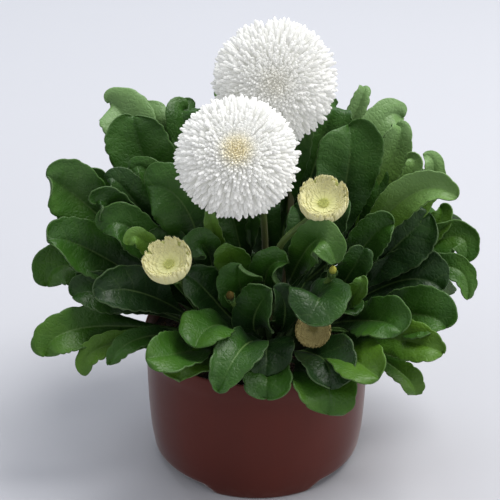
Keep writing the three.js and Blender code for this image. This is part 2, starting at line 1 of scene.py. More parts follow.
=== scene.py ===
# %% [markdown]
# # A pompon English daisy in its nursery pot
#
# The solids of the plant and its pot are loaded first. They hold the sizes and places, and the
# pieces below are finer versions of them: waved leaves with veins, blooms made of hundreds of
# quilled florets, cupped cream buds, a satin plastic pot and crumbly peat.
# Lengths of the plant and its pot are millimetres, and turn into Blender's metres when a mesh is
# written. Lights and camera are placed in metres.

# %% Load the frame
import math
import bpy
import numpy as np
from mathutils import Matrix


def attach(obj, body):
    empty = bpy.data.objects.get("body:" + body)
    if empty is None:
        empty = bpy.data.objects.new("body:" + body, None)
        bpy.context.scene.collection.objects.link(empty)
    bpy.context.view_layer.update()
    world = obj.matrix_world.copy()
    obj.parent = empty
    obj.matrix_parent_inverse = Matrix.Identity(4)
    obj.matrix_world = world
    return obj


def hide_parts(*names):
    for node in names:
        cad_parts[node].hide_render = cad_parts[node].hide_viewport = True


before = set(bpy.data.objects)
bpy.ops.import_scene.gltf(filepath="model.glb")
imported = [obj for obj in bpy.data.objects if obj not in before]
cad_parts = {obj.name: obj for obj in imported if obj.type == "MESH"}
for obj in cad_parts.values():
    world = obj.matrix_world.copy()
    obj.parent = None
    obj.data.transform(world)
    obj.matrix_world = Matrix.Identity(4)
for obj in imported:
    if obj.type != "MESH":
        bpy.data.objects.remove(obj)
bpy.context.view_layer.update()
MM = 0.001
BODY = "root"
UP = np.array([0, 0, 1.0])
GOLDEN_ANGLE = math.pi * (3 - math.sqrt(5))

# %% [markdown]
# ## Turning arrays into meshes
#
# Every surface here is worked out as a whole array of points. A `Skin` gathers such arrays, with
# any number that the finish wants to know at each point, and writes them into one mesh. Writing
# with `foreach_set` is much faster than adding faces one by one. What the plant repeats, such as
# rings round an axis, copies of a small thing and curves with one bend, has a function each.

# %% A skin that collects points and faces
class Skin:
    """Points, faces and per-point numbers of one piece, gathered before the mesh is made."""

    def __init__(self):
        self.points, self.quads, self.triangles, self.marks = [], [], [], {}
        self.count = 0

    def add(self, points, quads=None, triangles=None, **marks):
        """Add points (n, 3) with faces that number them from 0, and one value a point for each mark."""
        points = np.asarray(points, float).reshape(-1, 3)
        for faces, store in ((quads, self.quads), (triangles, self.triangles)):
            if faces is not None and len(faces):
                store.append(np.asarray(faces, int) + self.count)
        for name, values in marks.items():
            spread = np.broadcast_to(np.asarray(values, float).ravel(), (len(points),))
            self.marks.setdefault(name, []).append((self.count, spread))
        self.points.append(points)
        self.count += len(points)

    def add_rings(self, points, flipped=False, **marks):
        """Add a grid of points whose rows are closed rings; flipped ones run the other way round."""
        faces = grid_faces(*points.shape[:2], wrap=True)
        self.add(points, faces[:, ::-1] if flipped else faces, **marks)

    def add_copies(self, points, triangles, quads=None, **marks):
        """Add copies of one small thing: points (copies, points of one, 3), and the faces of one."""
        shape = points.shape[:2]
        first = np.arange(shape[0])[:, None, None] * shape[1]
        if quads is not None:
            quads = (first + quads).reshape(-1, 4)
        marks = {name: np.broadcast_to(values, shape) for name, values in marks.items()}
        self.add(points, quads, (first + np.array(triangles)).reshape(-1, 3), **marks)

    def mesh(self, name):
        """Write the gathered arrays, turned to metres, into a smooth-shaded mesh."""
        points = np.concatenate(self.points) * MM
        quads = np.concatenate(self.quads) if self.quads else np.zeros((0, 4), int)
        triangles = np.concatenate(self.triangles) if self.triangles else np.zeros((0, 3), int)
        corners = np.concatenate([quads.ravel(), triangles.ravel()])
        sizes = np.concatenate([np.full(len(quads), 4), np.full(len(triangles), 3)])
        mesh = bpy.data.meshes.new(name)
        mesh.vertices.add(len(points))
        mesh.vertices.foreach_set("co", points.ravel())
        mesh.loops.add(len(corners))
        mesh.loops.foreach_set("vertex_index", corners)
        mesh.polygons.add(len(sizes))
        mesh.polygons.foreach_set("loop_start", np.concatenate([[0], np.cumsum(sizes)[:-1]]))
        mesh.polygons.foreach_set("loop_total", sizes)
        mesh.polygons.foreach_set("use_smooth", np.ones(len(sizes), bool))
        for mark, parts in self.marks.items():
            values = np.zeros(len(points))
            for start, part in parts:
                values[start:start + len(part)] = part
            mesh.attributes.new(mark, "FLOAT", "POINT").data.foreach_set("value", values)
        mesh.update(calc_edges=True)
        mesh.validate()
        return mesh


def grid_faces(rows, columns, wrap=False):
    """Quads of a grid of (rows, columns) points; wrap joins the last column to the first."""
    across = columns if wrap else columns - 1
    j, i = np.meshgrid(np.arange(rows - 1), np.arange(across), indexing="ij")
    a, b = j * columns + i, j * columns + (i + 1) % columns
    return np.stack([a, b, b + columns, a + columns], -1).reshape(-1, 4)


def smooth(x):
    """The s-shaped step from 0 to 1: three x squared less two x cubed."""
    x = np.clip(x, 0, 1)
    return x * x * (3 - 2 * x)


def unit(v):
    """Vectors scaled to length one along the last axis."""
    return v / np.maximum(np.linalg.norm(v, axis=-1, keepdims=True), 1e-9)


def full_turn(sides):
    """Angles in even steps round a circle."""
    return np.linspace(0, 2 * np.pi, sides, endpoint=False)


def round_axis(radius, around, height):
    """Points at a distance from the upright axis, a turn round it and a height, which may be grids."""
    radius, around, height = np.broadcast_arrays(radius, around, height)
    return np.stack([radius * np.cos(around), radius * np.sin(around), height], -1)


def turned_surface(profile, sides):
    """A profile of radius and height turned round the upright axis."""
    return round_axis(profile[:, :1], full_turn(sides), profile[:, 1:])


def ball(polar, sides, stretch=1.0):
    """Rings of a ball at angles away from its axis, drawn out along the axis."""
    return round_axis(np.sin(polar)[:, None], full_turn(sides), stretch * np.cos(polar)[:, None])


def closing_fan(first, sides, flipped=False):
    """Triangles that close a ring of points, numbered from first; flipped ones face the other way."""
    pairs = [(first + i, first + i + 1) for i in range(1, sides - 1)]
    return [(first, b, a) if flipped else (first, a, b) for a, b in pairs]


def bent(t, start, bend, end):
    """Places at t from 0 to 1 on a curve that heads for its bend and then for its end."""
    return (1 - t) ** 2 * start + 2 * t * (1 - t) * bend + t ** 2 * end


def bent_heading(t, start, bend, end):
    """The directions of that curve at t."""
    return unit(2 * (1 - t) * (bend - start) + 2 * t * (end - bend))


def make_piece(name, skin, finish, slot, *nodes):
    """Put a skin in the scene as an object that rides on the plant and replaces its solids."""
    piece = bpy.data.objects.new(name, skin.mesh(name))
    bpy.context.scene.collection.objects.link(piece)
    piece.data.materials.append(finish)
    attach(piece, BODY)
    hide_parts(*nodes)
    triangles = sum(len(p.vertices) - 2 for p in piece.data.polygons)
    print(name, triangles, "triangles")


# %% [markdown]
# ## Writing finishes as sums
#
# A finish is a small graph of shader nodes. `Wire` wraps one socket of it, so that a pattern such
# as a leaf's midrib can be written as arithmetic, and each operator adds one Math node.

# %% A wire and a finish
def math_node(operation, swapped=False):
    """A method that adds a Math node; swapped is for a plain number on the left of the wire."""
    def add_node(wire, *other):
        values = (*other, wire) if swapped else (wire, *other)
        return wire.finish.node("ShaderNodeMath", {"operation": operation}, dict(enumerate(values)))
    return add_node


class Wire:
    """One number that runs through a finish; + - * and ** add the Math node that does them."""

    def __init__(self, finish, socket):
        self.finish, self.socket = finish, socket

    __add__, __radd__ = math_node("ADD"), math_node("ADD", swapped=True)
    __sub__, __rsub__ = math_node("SUBTRACT"), math_node("SUBTRACT", swapped=True)
    __mul__, __rmul__ = math_node("MULTIPLY"), math_node("MULTIPLY", swapped=True)
    __pow__ = math_node("POWER")
    size, part = math_node("ABSOLUTE"), math_node("FRACT")

    def step(self, low, high):
        """0 below low, 1 above high and an s-shaped rise between them."""
        settings = {"interpolation_type": "SMOOTHSTEP"}
        return self.finish.node("ShaderNodeMapRange", settings, {0: self, 1: low, 2: high, 3: 0.0, 4: 1.0})


class Finish:
    """A material with one Principled shader, whose pattern is built with node()."""

    def __init__(self, name, roughness, **fixed):
        self.material = bpy.data.materials.new(name)
        self.material.use_nodes = True
        self.tree = self.material.node_tree
        self.shader = self.tree.nodes["Principled BSDF"]
        self.shader.inputs["Roughness"].default_value = roughness
        for socket, value in fixed.items():
            self.shader.inputs[socket.replace("_", " ")].default_value = value

    def join(self, value, socket):
        if isinstance(value, Wire):
            self.tree.links.new(value.socket, socket)
        else:
            socket.default_value = value

    def node(self, kind, settings=None, inputs=None, output=0):
        """Add a node of a kind, with its settings and sockets, and return one output as a wire."""
        node = self.tree.nodes.new(kind)
        for name, value in (settings or {}).items():
            setattr(node, name, value)
        for name, value in (inputs or {}).items():
            self.join(value, node.inputs[name])
        return Wire(self, node.outputs[output])

    def mark(self, name):
        return self.node("ShaderNodeAttribute", {"attribute_name": name}, output="Fac")

    def place(self):
        return self.node("ShaderNodeTexCoord", output="Object")

    def axis(self, name):
        """One coordinate of the surface, X, Y or Z, in metres."""
        return self.node("ShaderNodeSeparateXYZ", None, {0: self.place()}, name)

    def noise(self, scale, detail=3.0, rough=0.55, at=None):
        inputs = {"Vector": at or self.place(), "Scale": scale, "Detail": detail, "Roughness": rough}
        return self.node("ShaderNodeTexNoise", None, inputs, "Fac")

    def blend(self, share, first, second):
        """The colour between first and second, at share from 0 to 1."""
        ends = {0: share, 6: first, 7: second}
        return self.node("ShaderNodeMix", {"data_type": "RGBA", "clamp_factor": True}, ends, 2)

    def colour(self, value):
        self.join(value, self.shader.inputs["Base Color"])

    def gloss(self, value):
        self.join(value, self.shader.inputs["Roughness"])

    def relief(self, height, depth_mm, strength=1.0):
        """Bump of the given depth, from a height that runs from 0 to 1."""
        inputs = {"Strength": strength, "Distance": depth_mm * MM, "Height": height}
        self.join(self.node("ShaderNodeBump", None, inputs), self.shader.inputs["Normal"])


def paint(red, green, blue):
    """A colour given as the 0 to 255 numbers of a screen, turned into linear light."""
    share = np.array([red, green, blue]) / 255
    linear = np.where(share <= 0.04045, share / 12.92, ((share + 0.055) / 1.055) ** 2.4)
    return (*[float(v) for v in linear], 1.0)


# %% [markdown]
# ## The leaves
#
# A daisy leaf is a spoon: a narrow stalk that widens into a rounded blade with a shallow-toothed
# edge, a sunken midrib and a few side veins. Leaves could be scattered by chance, but this plant's
# big leaves are easy to tell apart, so each row says where one leaf's widest place and tip are.
# The surface between them comes from one formula, the same as in the solids.

# %% Where every leaf is
SOIL_TOP = 60.5
POT_HEIGHT = 66.0
CROWN_CENTRE = np.array([4.0, 6.0])
MIDDLE, LEFT, RIGHT, FRONT, BACK = (4, 6), (-17, 2), (24, 8), (6, -14), (4, 28)

# crown, widest place (x, y, z), tip (x, y, z), width, lean to the front, bluntness, tone: own green plus
# painted light or shade
LEAVES = [
    (BACK, -30, 50, 146, -30, 58, 153, 18, 0.7, 2.4, 0.45),
    (BACK, -15, 50, 157, -17, 58, 163, 10, 0.7, 2.4, 0.6),
    (BACK, -46, 44, 148, -59, 50, 153, 20, 0.6, 2.4, 0.9),
    (BACK, -34, 38, 151, -34, 46, 157, 18, 0.8, 2.4, 0.6),
    (LEFT, -61, 38, 154, -71, 44, 161, 24, 0.9, 2.4, 0.95),
    (LEFT, -54, 22, 148, -57, 28, 161, 29, 1.0, 3, 0.5),
    (LEFT, -48, 8, 141, -58, 6, 144, 12, 1.2, 1.6, 0.5),
    (LEFT, -71, 8, 133, -79, 9, 141, 15, 0.9, 2.4, 0.6),
    (LEFT, -83, -4, 137, -95, -8, 147, 26, 0.95, 3, 0.6),
    (LEFT, -60, 2, 136, -68, 2, 141, 16, 0.9, 2.4, 0.3),
    (LEFT, -65, -9, 132, -72, -11, 136, 17, 0.9, 2.4, 0.25),
    (LEFT, -59, -14, 126, -70, -18, 125, 19, 0.9, 2.4, 0.5),
    (LEFT, -51, -24, 124, -57, -26, 124, 9, 0.9, 2.4, 1),
    (LEFT, -80, -14, 116, -94, -22, 122, 25, 0.8, 2.4, 0.5),
    (LEFT, -88, -6, 101, -97, -10, 93, 20, 0.8, 2.4, 0.6),
    (LEFT, -72, -12, 95, -83, -14, 99, 18, 0.8, 2.4, 0.4),
    (LEFT, -73, -22, 96, -84, -26, 96, 18, 0.8, 2.4, 0.25),
    (LEFT, -87, -34, 82, -96, -42, 74, 19, 0.95, 3, 0.75),
    (LEFT, -58, -30, 102, -72, -36, 102, 21, 0.8, 2, 0.1),
    (FRONT, -72, -38, 76, -78, -44, 65, 11, 0.8, 1.5, 0.9),
    (LEFT, -58, -40, 80, -67, -46, 72, 10, 0.8, 1.4, 0.5),
    (FRONT, -30, -53, 79, -34, -65, 77, 26, 0.3, 2.4, 0.85),
    (LEFT, -35, -60, 87, -48, -70, 90, 22, 0.6, 3, 0.6),
    (FRONT, -21, -50, 95, -27, -62, 91, 21, 0.4, 3, 0.6),
    (FRONT, 4, -58, 74, 4, -66, 67, 21, 0.3, 3, 0.45),
    (FRONT, 4, -46, 81, 4, -58, 74, 24, 0.3, 2.4, 0.1),
    (FRONT, -8, -60, 88, -17, -74, 76, 20, 0.5, 1.4, 0.4),
    (FRONT, 30, -59, 69, 31, -69, 61, 28, 0.3, 3, 0.7),
    (FRONT, 30, -53, 78, 32, -65, 72, 25, 0.3, 2.4, 0.1),
    (RIGHT, 43, -54, 81, 53, -67, 79, 24, 0.6, 3, 0.85),
    (RIGHT, 40, -30, 92, 44, -39, 94, 16, 0.3, 2.4, 0.3),
    (FRONT, 27, -49, 110, 21, -61, 103, 25, 0.5, 3, 0.3),
    (RIGHT, 55, -42, 93, 63, -51, 92, 22, 0.7, 3, 0.6),
    (RIGHT, 44, -34, 103, 46, -34, 111, 9, 0.7, 2.4, 0.8),
    (RIGHT, 70, -41, 81, 82, -47, 79, 19, 0.9, 1.8, 0.9),
    (RIGHT, 68, -34, 59, 74, -40, 50, 11, 0.6, 2.4, 0.85),
    (RIGHT, 76, -32, 90, 85, -40, 88, 24, 0.8, 3, 0.55),
    (RIGHT, 72, -8, 95, 86, -15, 94, 28, 0.8, 2.4, 0.2),
    (RIGHT, 67, 0, 111, 80, 2, 124, 27, 0.9, 2.4, 0.22),
    (RIGHT, 84, 14, 111, 86, 18, 120, 12, 0.9, 2.4, 0.75),
    (RIGHT, 93, 10, 108, 98, 4, 98, 15, 0.9, 1.5, 0.65),
    (RIGHT, 91, -4, 99, 98, -10, 86, 12, 0.9, 1.5, 0.65),
    (RIGHT, 72, 0, 136, 90, -8, 137, 17, 0.9, 1.6, 1.15),
    (RIGHT, 80, 8, 138, 77, 14, 148, 12, 0.9, 1.4, 1.2),
    (RIGHT, 71, 20, 133, 72, 26, 140, 9, 0.9, 2.4, 1.1),
    (RIGHT, 65, 30, 143, 67, 36, 152, 15, 0.9, 2.4, 1.15),
    (RIGHT, 58, 44, 150, 71, 50, 151, 17, 0.9, 3, 0.95),
    (RIGHT, 43, 20, 145, 42, 26, 159, 30, 1.0, 3, 0.5),
    (BACK, 48, 48, 157, 51, 54, 164, 8, 0.7, 2.4, 1),
    (BACK, 33, 40, 151, 37, 48, 157, 24, 0.9, 2.4, 0.45),
    (BACK, 20, 28, 151, 25, 36, 160, 12, 0.9, 2.4, 0.6),
    (BACK, 55, 22, 117, 56, 29, 133, 20, 0.9, 2.4, 0.4),
    (RIGHT, 53, -8, 118, 62, -10, 125, 18, 0.9, 2.4, 0.5),
    (RIGHT, 45, -20, 111, 48, -20, 119, 14, 0.9, 2.4, 0.3),
    (MIDDLE, 27, -38, 132, 34, -46, 124, 17, 0.9, 1.6, 0.7),
    (FRONT, 5, -28, 112, 13, -34, 119, 17, 0.8, 1.5, 0.5),
    (FRONT, -12, -22, 113, -13, -22, 121, 16, 0.7, 2.4, 0.75),
    (FRONT, -8, -32, 107, -8, -34, 117, 21, 0.7, 2.4, 0.5),
    (LEFT, -24, -18, 118, -31, -22, 116, 14, 0.9, 2.4, 0.4),
    (FRONT, -24, -28, 101, -32, -32, 112, 20, 0.7, 2.4, 0.2),
    (FRONT, -1, -40, 96, 6, -44, 110, 21, 0.7, 2.4, 0.3),
    (FRONT, 12, -40, 101, 7, -42, 110, 12, 0.7, 2.4, 0.1),
    (LEFT, -35, -4, 134, -50, 0, 139, 27, 1.0, 3, 0.5),
    (MIDDLE, -20, -12, 122, -21, -8, 130, 7, 0.6, 2.4, 1),
    (LEFT, -39, -10, 114, -49, -14, 119, 14, 0.9, 2.4, 0.25),
    (MIDDLE, 33, -4, 124, 41, -2, 133, 16, 0.9, 2.4, 0.2),
    (MIDDLE, -26, -10, 101, -38, -8, 111, 18, 0.9, 2.4, 0.2),
    (MIDDLE, 20, -8, 120, 17, -4, 131, 16, 0.9, 2.4, 0.2),
    (BACK, 10, 78, 118, 12, 96, 112, 26, -0.6, 2.8, 0.6),
    (BACK, -18, 74, 126, -24, 92, 121, 25, -0.6, 2.8, 0.5),
    (BACK, 37, 72, 127, 46, 88, 122, 25, -0.6, 2.8, 0.75),
    (BACK, -46, 62, 119, -57, 76, 112, 25, -0.5, 2.8, 0.6),
    (BACK, 63, 54, 116, 77, 65, 110, 25, -0.5, 2.4, 0.7),
    (LEFT, -66, 40, 110, -82, 50, 102, 24, -0.4, 2.8, 0.55),
    (RIGHT, 82, 32, 104, 96, 40, 96, 21, -0.3, 2.4, 0.6),
    (BACK, -6, 74, 90, -8, 88, 78, 24, -0.7, 3, 0.7),
    (BACK, 26, 72, 88, 32, 85, 76, 24, -0.7, 3, 0.6),
    (BACK, -34, 62, 84, -44, 74, 71, 22, -0.6, 3, 0.75),
    (BACK, 54, 54, 82, 64, 64, 69, 23, -0.6, 3, 0.65),
    (LEFT, -62, 32, 82, -77, 40, 70, 21, -0.5, 3, 0.6),
    (RIGHT, 80, 18, 80, 93, 24, 68, 19, -0.4, 2.4, 0.7),
    (BACK, 4, 62, 139, 2, 78, 141, 23, -0.2, 2.4, 0.5),
    (BACK, -22, 58, 141, -28, 71, 144, 20, -0.2, 2.4, 0.5),
    (BACK, -11, 28, 108, -12, 31, 116, 22, 0.8, 2.4, 0.5),
    (BACK, 5, 30, 105, 6, 34, 113, 20, 0.8, 2.4, 0.35),
    (LEFT, -41, -6, 93, -49, -10, 97, 15, 0.9, 2.4, 0.2),
]
print(len(LEAVES), "leaves")

# %% [markdown]
# The midrib is a curve through the crown, the widest place and the tip. Across it the blade is a
# shallow cup with a fold at the midrib, a ripple along the edge and slow swells. The half width
# grows out of the stalk, is greatest at the widest place and rounds off to the tip, with shallow
# teeth on the edge. A mesh this fine can also carry the furrow of the midrib and the puffed fields
# between the side veins.

# %% The leaf formula
HEART_AT = 0.66
STALK_HALF_WIDTH = 1.3
BLADE_THICKNESS = 0.6
STALK_THICKNESS = 1.7
TOWARDS_FRONT = np.array([0, -0.86, 0.5])
VEIN_SPACING = 7.5
STALK_ROWS, BLADE_ROWS, BLADE_COLUMNS = 9, 50, 17


def leaf_grid():
    """Rows: few on the stalk, many on the blade, closest at the tip. Columns: closest at rib and edge."""
    blade_rows = 1 - 0.66 * (1 - np.linspace(0, 1, BLADE_ROWS)) ** 1.7
    rows = np.concatenate([np.linspace(0, 0.34, STALK_ROWS)[:-1], blade_rows])
    even = np.linspace(-1, 1, BLADE_COLUMNS)
    return rows, even - 0.6 * np.sin(2 * np.pi * even) / (2 * np.pi)


def clear_of_pot(points):
    """Lift points that are low over the pot to a floor that climbs from the peat over the rim."""
    crown_edge, past_rim, steepness = 30, 58, 3
    radius = np.hypot(points[..., 0], points[..., 1])
    over_peat, over_rim = SOIL_TOP + 3, POT_HEIGHT + 3.5
    inside = over_peat + (over_rim - over_peat) * smooth((radius - crown_edge) / 16)
    floor = np.where(radius < past_rim, inside, over_rim - (radius - past_rim) * steepness)
    floor = np.where(radius < crown_edge, -1e3, floor)
    lifted = points.copy()
    lifted[..., 2] = np.maximum(points[..., 2], floor)
    return lifted


def half_width(s, heart, width, bluntness):
    """Stalk width, then an s-shaped rise to the widest place, then a rounded end."""
    widest = width / 2
    grown = smooth((s - 0.3 * heart) / (0.7 * heart)) ** 1.15
    past = np.clip((s - heart) / (1 - heart), 0, 1)
    rounded = widest * np.sqrt(np.maximum(0, 1 - past ** bluntness))
    half = np.where(s < heart, STALK_HALF_WIDTH + (widest - STALK_HALF_WIDTH) * grown, rounded)
    return np.maximum(half, 0.2)


def by_side(u, left, right):
    """One value left of the midrib and another right of it, told apart smoothly."""
    share = smooth((u + 0.3) / 0.6)
    return left * (1 - share) + right * share


def side_waves(s, u, height, pace, turns):
    """Waves along the leaf, with a height, pace and start for each side of the midrib."""
    waves = height * np.sin(pace * s + turns)
    return by_side(u, waves[:, :1], waves[:, 1:])


def leaf_spine(row, s):
    """The midrib's curve, directions across and out of the blade, its length and its heart's share."""
    crown, lean = row[0], row[8]
    heart, tip = np.array(row[1:4], float), np.array(row[4:7], float)
    out = unit(np.array([tip[0] - crown[0], tip[1] - crown[1], 0]))
    root = np.array([*crown, SOIL_TOP - 0.5]) + out * 5
    h = HEART_AT
    bend = (heart - (1 - h) ** 2 * root - h ** 2 * tip) / (2 * h * (1 - h))
    fine = np.linspace(0, 1, 101)[:, None]
    stretches = np.linalg.norm(np.diff(bent(fine, root, bend, tip), axis=0), axis=1)
    run = np.concatenate([[0], np.cumsum(stretches)])
    t = np.interp(s, run / run[-1], fine[:, 0])[:, None]
    ahead = bent_heading(t, root, bend, tip)
    inward = unit(np.array([CROWN_CENTRE[0] - root[0], CROWN_CENTRE[1] - root[1], 0]))
    turn = smooth((s - 0.1) / 0.5)[:, None]
    face = unit(inward + 0.5 * UP) * (1 - turn) + unit(UP * (1 - lean) + TOWARDS_FRONT * lean) * turn
    normal = unit(face - (face * ahead).sum(1, keepdims=True) * ahead)
    return bent(t, root, bend, tip), np.cross(ahead, normal), normal, run[-1], run[round(h * 100)] / run[-1]


def toothed_width(s, u, half, length, rng, turns):
    """How far each point lies from the midrib: an uneven half width with shallow teeth on the edge."""
    uneven = side_waves(s, u, rng.uniform(0.03, 0.1, 2), rng.uniform(8, 13, 2), turns[:2])
    steps = side_waves(s, u, rng.uniform(0.02, 0.04, 2), rng.uniform(17, 26, 2), turns[2:4])
    wander = s + 0.012 * np.sin(31 * s + turns[4])
    teeth = by_side(u, *rng.uniform(15, 21, 2))
    tooth = np.abs(np.sin(np.pi * teeth * wander * length / 100)) ** 0.7 - 0.6
    scallop = 0.9 / np.maximum(half, 3) * tooth * np.abs(u) ** 3
    return half * u * (1 + smooth((s - 0.3) / 0.3) * (uneven + steps) + smooth((s - 0.4) / 0.2) * scallop)


def blade_rise(s, u, half, across, vein, width, number, rng, turns):
    """Height over the flat blade: cup, ripple, crinkled edge, swells, puffed fields and furrow."""
    edge = np.abs(u)
    cupped = 2 * half * (0.08 * edge ** 1.3 + 0.1 * u * u)
    ripple = np.sin(2 * np.pi * 2.2 * s + number * 2.4 + np.where(u > 0, 1.7, 0)) * u * u
    crinkles = by_side(u, *rng.uniform(4.2, 6.5, 2))
    crinkle = 0.85 * np.sin(2 * np.pi * crinkles * s + turns[5]) * edge ** 3
    curl = by_side(u, *rng.uniform(-0.2, 0.14, 2)) * half * edge ** 4
    swell = 1.5 * np.sin(turns[6] + 6.5 * s + 1.8 * u) * np.cos(turns[7] + 4.4 * s + 2.6 * u)
    puffed = np.abs(np.sin(np.pi * vein)) ** 0.8 * smooth(np.abs(across) / 4) * (1 - edge ** 4)
    furrow = -0.55 * np.exp(-across ** 2)
    nod = rng.normal(0, 1.3) * smooth((s - 0.8) / 0.2) ** 2
    return cupped + ripple + smooth(width / 30) * (crinkle + swell + 0.5 * puffed) + curl + furrow + nod


def leaf_surface(row, number):
    """Points and marks of one leaf, on a grid of rows along it and columns across it."""
    width, bluntness, brightness = row[7], row[9], row[10]
    s, u = leaf_grid()
    centre, side, normal, length, heart = leaf_spine(row, s)
    half = half_width(s, heart, width, bluntness)[:, None]
    s, u = s[:, None], u[None, :]
    rng = np.random.default_rng(100 + number)
    turns = rng.uniform(0, 6.3, 8)
    across = toothed_width(s, u, half, length, rng, turns)
    vein = s * length / VEIN_SPACING - np.abs(across) / (1.5 * VEIN_SPACING)
    rise = smooth((s - 0.3) / 0.3) * blade_rise(s, u, half, across, vein, width, number, rng, turns)
    points = centre[:, None] + side[:, None] * across[..., None] + normal[:, None] * rise[..., None]
    marks = dict(along=s + 0 * u, across_mm=np.abs(across), edge_mm=half * (1 - np.abs(u)),
                 vein=vein, brightness=brightness + 0 * across)
    return clear_of_pot(points), marks


def add_sheet(skin, points, thickness, **marks):
    """Thicken a grid of points into a closed sheet; the mark upper is 1 on its upper face."""
    rows, columns = points.shape[:2]
    normal = unit(np.cross(np.gradient(points, axis=1), np.gradient(points, axis=0)))
    shift = normal * np.broadcast_to(thickness, (rows,))[:, None, None] / 2
    layer = rows * columns
    faces = grid_faces(rows, columns)
    ring = np.concatenate([np.arange(columns), np.arange(1, rows) * columns + columns - 1,
                           layer - 2 - np.arange(columns - 1), np.arange(rows - 2, 0, -1) * columns])
    after = np.roll(ring, -1)
    rim = np.stack([ring, ring + layer, after + layer, after], -1)
    both = {name: np.concatenate([values.ravel()] * 2) for name, values in marks.items()}
    both["upper"] = np.repeat([1.0, 0.0], layer)
    quads = np.concatenate([faces, faces[:, ::-1] + layer, rim])
    skin.add(np.stack([points + shift, points - shift]), quads, **both)


# %% [markdown]
# ### The leaf finish
#
# Seen close, the leaf is a deep green skin with a waxy, slightly hairy surface that mirrors the pale sky as a
# bluish sheen. The midrib and the very edge are paler, the stalk is olive green darkened by painted shade,
# and the underside is duller. Young or thin leaves are closer to lime. On top of its own tone, each leaf
# carries painted light or shade for where it stands, painted shade deepens towards the crown, and high,
# bright leaves carry a painted greyish sheen. All of that is colour, so it is painted from the marks that the
# leaf formula left.

# %% The leaf finish
DEEP_GREEN, MID_GREEN, LIME = paint(18, 46, 10), paint(42, 81, 15), paint(80, 116, 28)
PALE_RIB, STALK_GREEN_IN_SHADE, PAINTED_SHEEN = paint(104, 132, 74), paint(54, 78, 30), paint(124, 156, 108)


def leaf_finish():
    """Green between deep and lime by tone, with painted light and shade, a painted sheen on high leaves, a
    thin pale rib, pale edge and fine relief.
    """
    finish = Finish("leaf_skin", 0.5, Specular_IOR_Level=0.3, Sheen_Weight=0.03, Sheen_Roughness=0.4)
    across, edge, along = finish.mark("across_mm"), finish.mark("edge_mm"), finish.mark("along")
    cloud = finish.noise(45.0, 4.0)
    grain = finish.noise(420.0, 3.0)
    # Tone mixes each leaf's own green with painted light or shade for where it stands; the along term is
    # painted shade that darkens the lower part of every leaf, towards the crown.
    level = finish.mark("brightness") + (cloud - 0.5) * 0.7 - (1.0 - along.step(0.4, 0.9)) * 0.45
    green = finish.blend(level.step(0.0, 0.62), DEEP_GREEN, MID_GREEN)
    green = finish.blend(level.step(0.5, 1.15), green, LIME)
    # Painted sheen: high, bright leaves are mixed towards a greyish green that stands in for the sky's
    # reflection on their upper faces.
    green = finish.blend(finish.axis("Z").step(0.115, 0.16) * level.step(0.45, 1.05) * 0.55, green, PAINTED_SHEEN)
    near_vein = (finish.mark("vein").part() - 0.5).size().step(0.41, 0.5)
    green = finish.blend(near_vein * edge.step(0.6, 4.0) * 0.08, green, PALE_RIB)
    rib = (1.0 - across.step(0.15, 0.75)) * (1.0 - along.step(0.55, 0.98)) * 0.6
    green = finish.blend(rib, green, PALE_RIB)
    green = finish.blend((1.0 - edge.step(0.05, 0.4)) * 0.15, green, PALE_RIB)
    # The stalk's olive green is darkened to paint the shade deep in the plant.
    green = finish.blend((1.0 - along.step(0.1, 0.4)) * 0.75, green, STALK_GREEN_IN_SHADE)
    dull = finish.blend(0.4, green, paint(84, 104, 70))
    finish.colour(finish.blend(finish.mark("upper"), dull, green))
    finish.gloss(0.36 + 0.18 * grain + 0.14 * (1.0 - finish.mark("upper")))
    pores = finish.node("ShaderNodeTexVoronoi", {"feature": "DISTANCE_TO_EDGE"},
                        {"Vector": finish.place(), "Scale": 480.0}, "Distance")
    finish.relief(pores.step(0.0, 0.28) * 0.6 + grain * 0.5, 0.2, 0.8)
    return finish.material


LEAF_FINISH = leaf_finish()

# %% [markdown]
# ### All leaves
#
# The leaves are grown in five pieces, by the part of the crown that they stand on. Ten young ones
# fill the middle. They are small and half hidden, so they aren't placed one by one: each stands a
# golden angle on from the one before it, as new leaves do, with sizes that change from leaf to leaf.

# %% Grow the leaves
def leaf_group(name, rows):
    """One piece that holds the leaves of some rows; each has its number, which sets its chances."""
    skin = Skin()
    for number, row in rows:
        points, marks = leaf_surface(row, number)
        along = marks["along"][:, 0]
        thickness = STALK_THICKNESS + (BLADE_THICKNESS - STALK_THICKNESS) * smooth(along / 0.45)
        add_sheet(skin, points, thickness, **marks)
    return make_piece(name, skin, LEAF_FINISH, "leaf", "leaves_and_stalks")


def young_leaves(count):
    """Rows of small upright leaves on a golden-angle ring round the crown's middle."""
    rows = []
    for k in range(count):
        around = 0.74 + k * GOLDEN_ANGLE
        ahead = np.array([math.cos(around), math.sin(around)])
        nearer, lower, narrower = 11 * (0.618 * k % 1), 5 * (0.414 * k % 1), 4 * (0.732 * k % 1)
        heart, height = CROWN_CENTRE + (33 - nearer) * ahead, 82 - lower
        tip = heart + 4 * ahead
        rows.append((MIDDLE, *heart, height, *tip, height + 9, 15 - narrower, 0.85, 2.3, 0.25))
    return rows


for group_name, crowns in (("leaves_left", [LEFT]), ("leaves_right", [RIGHT]),
                           ("leaves_front", [FRONT, MIDDLE]), ("leaves_back", [BACK])):
    leaf_group(group_name, [(number, row) for number, row in enumerate(LEAVES) if row[0] in crowns])
leaf_group("leaves_young", list(enumerate(young_leaves(10), 100)))

# %% [markdown]
# ## The crown
#
# All leaves meet in a crown of packed, sheathing feet, half sunk in the peat. It is a mound ribbed all round
# like those feet. It stands in deep shade, and the shade is painted into its colour: dark green above and
# nearly black below.

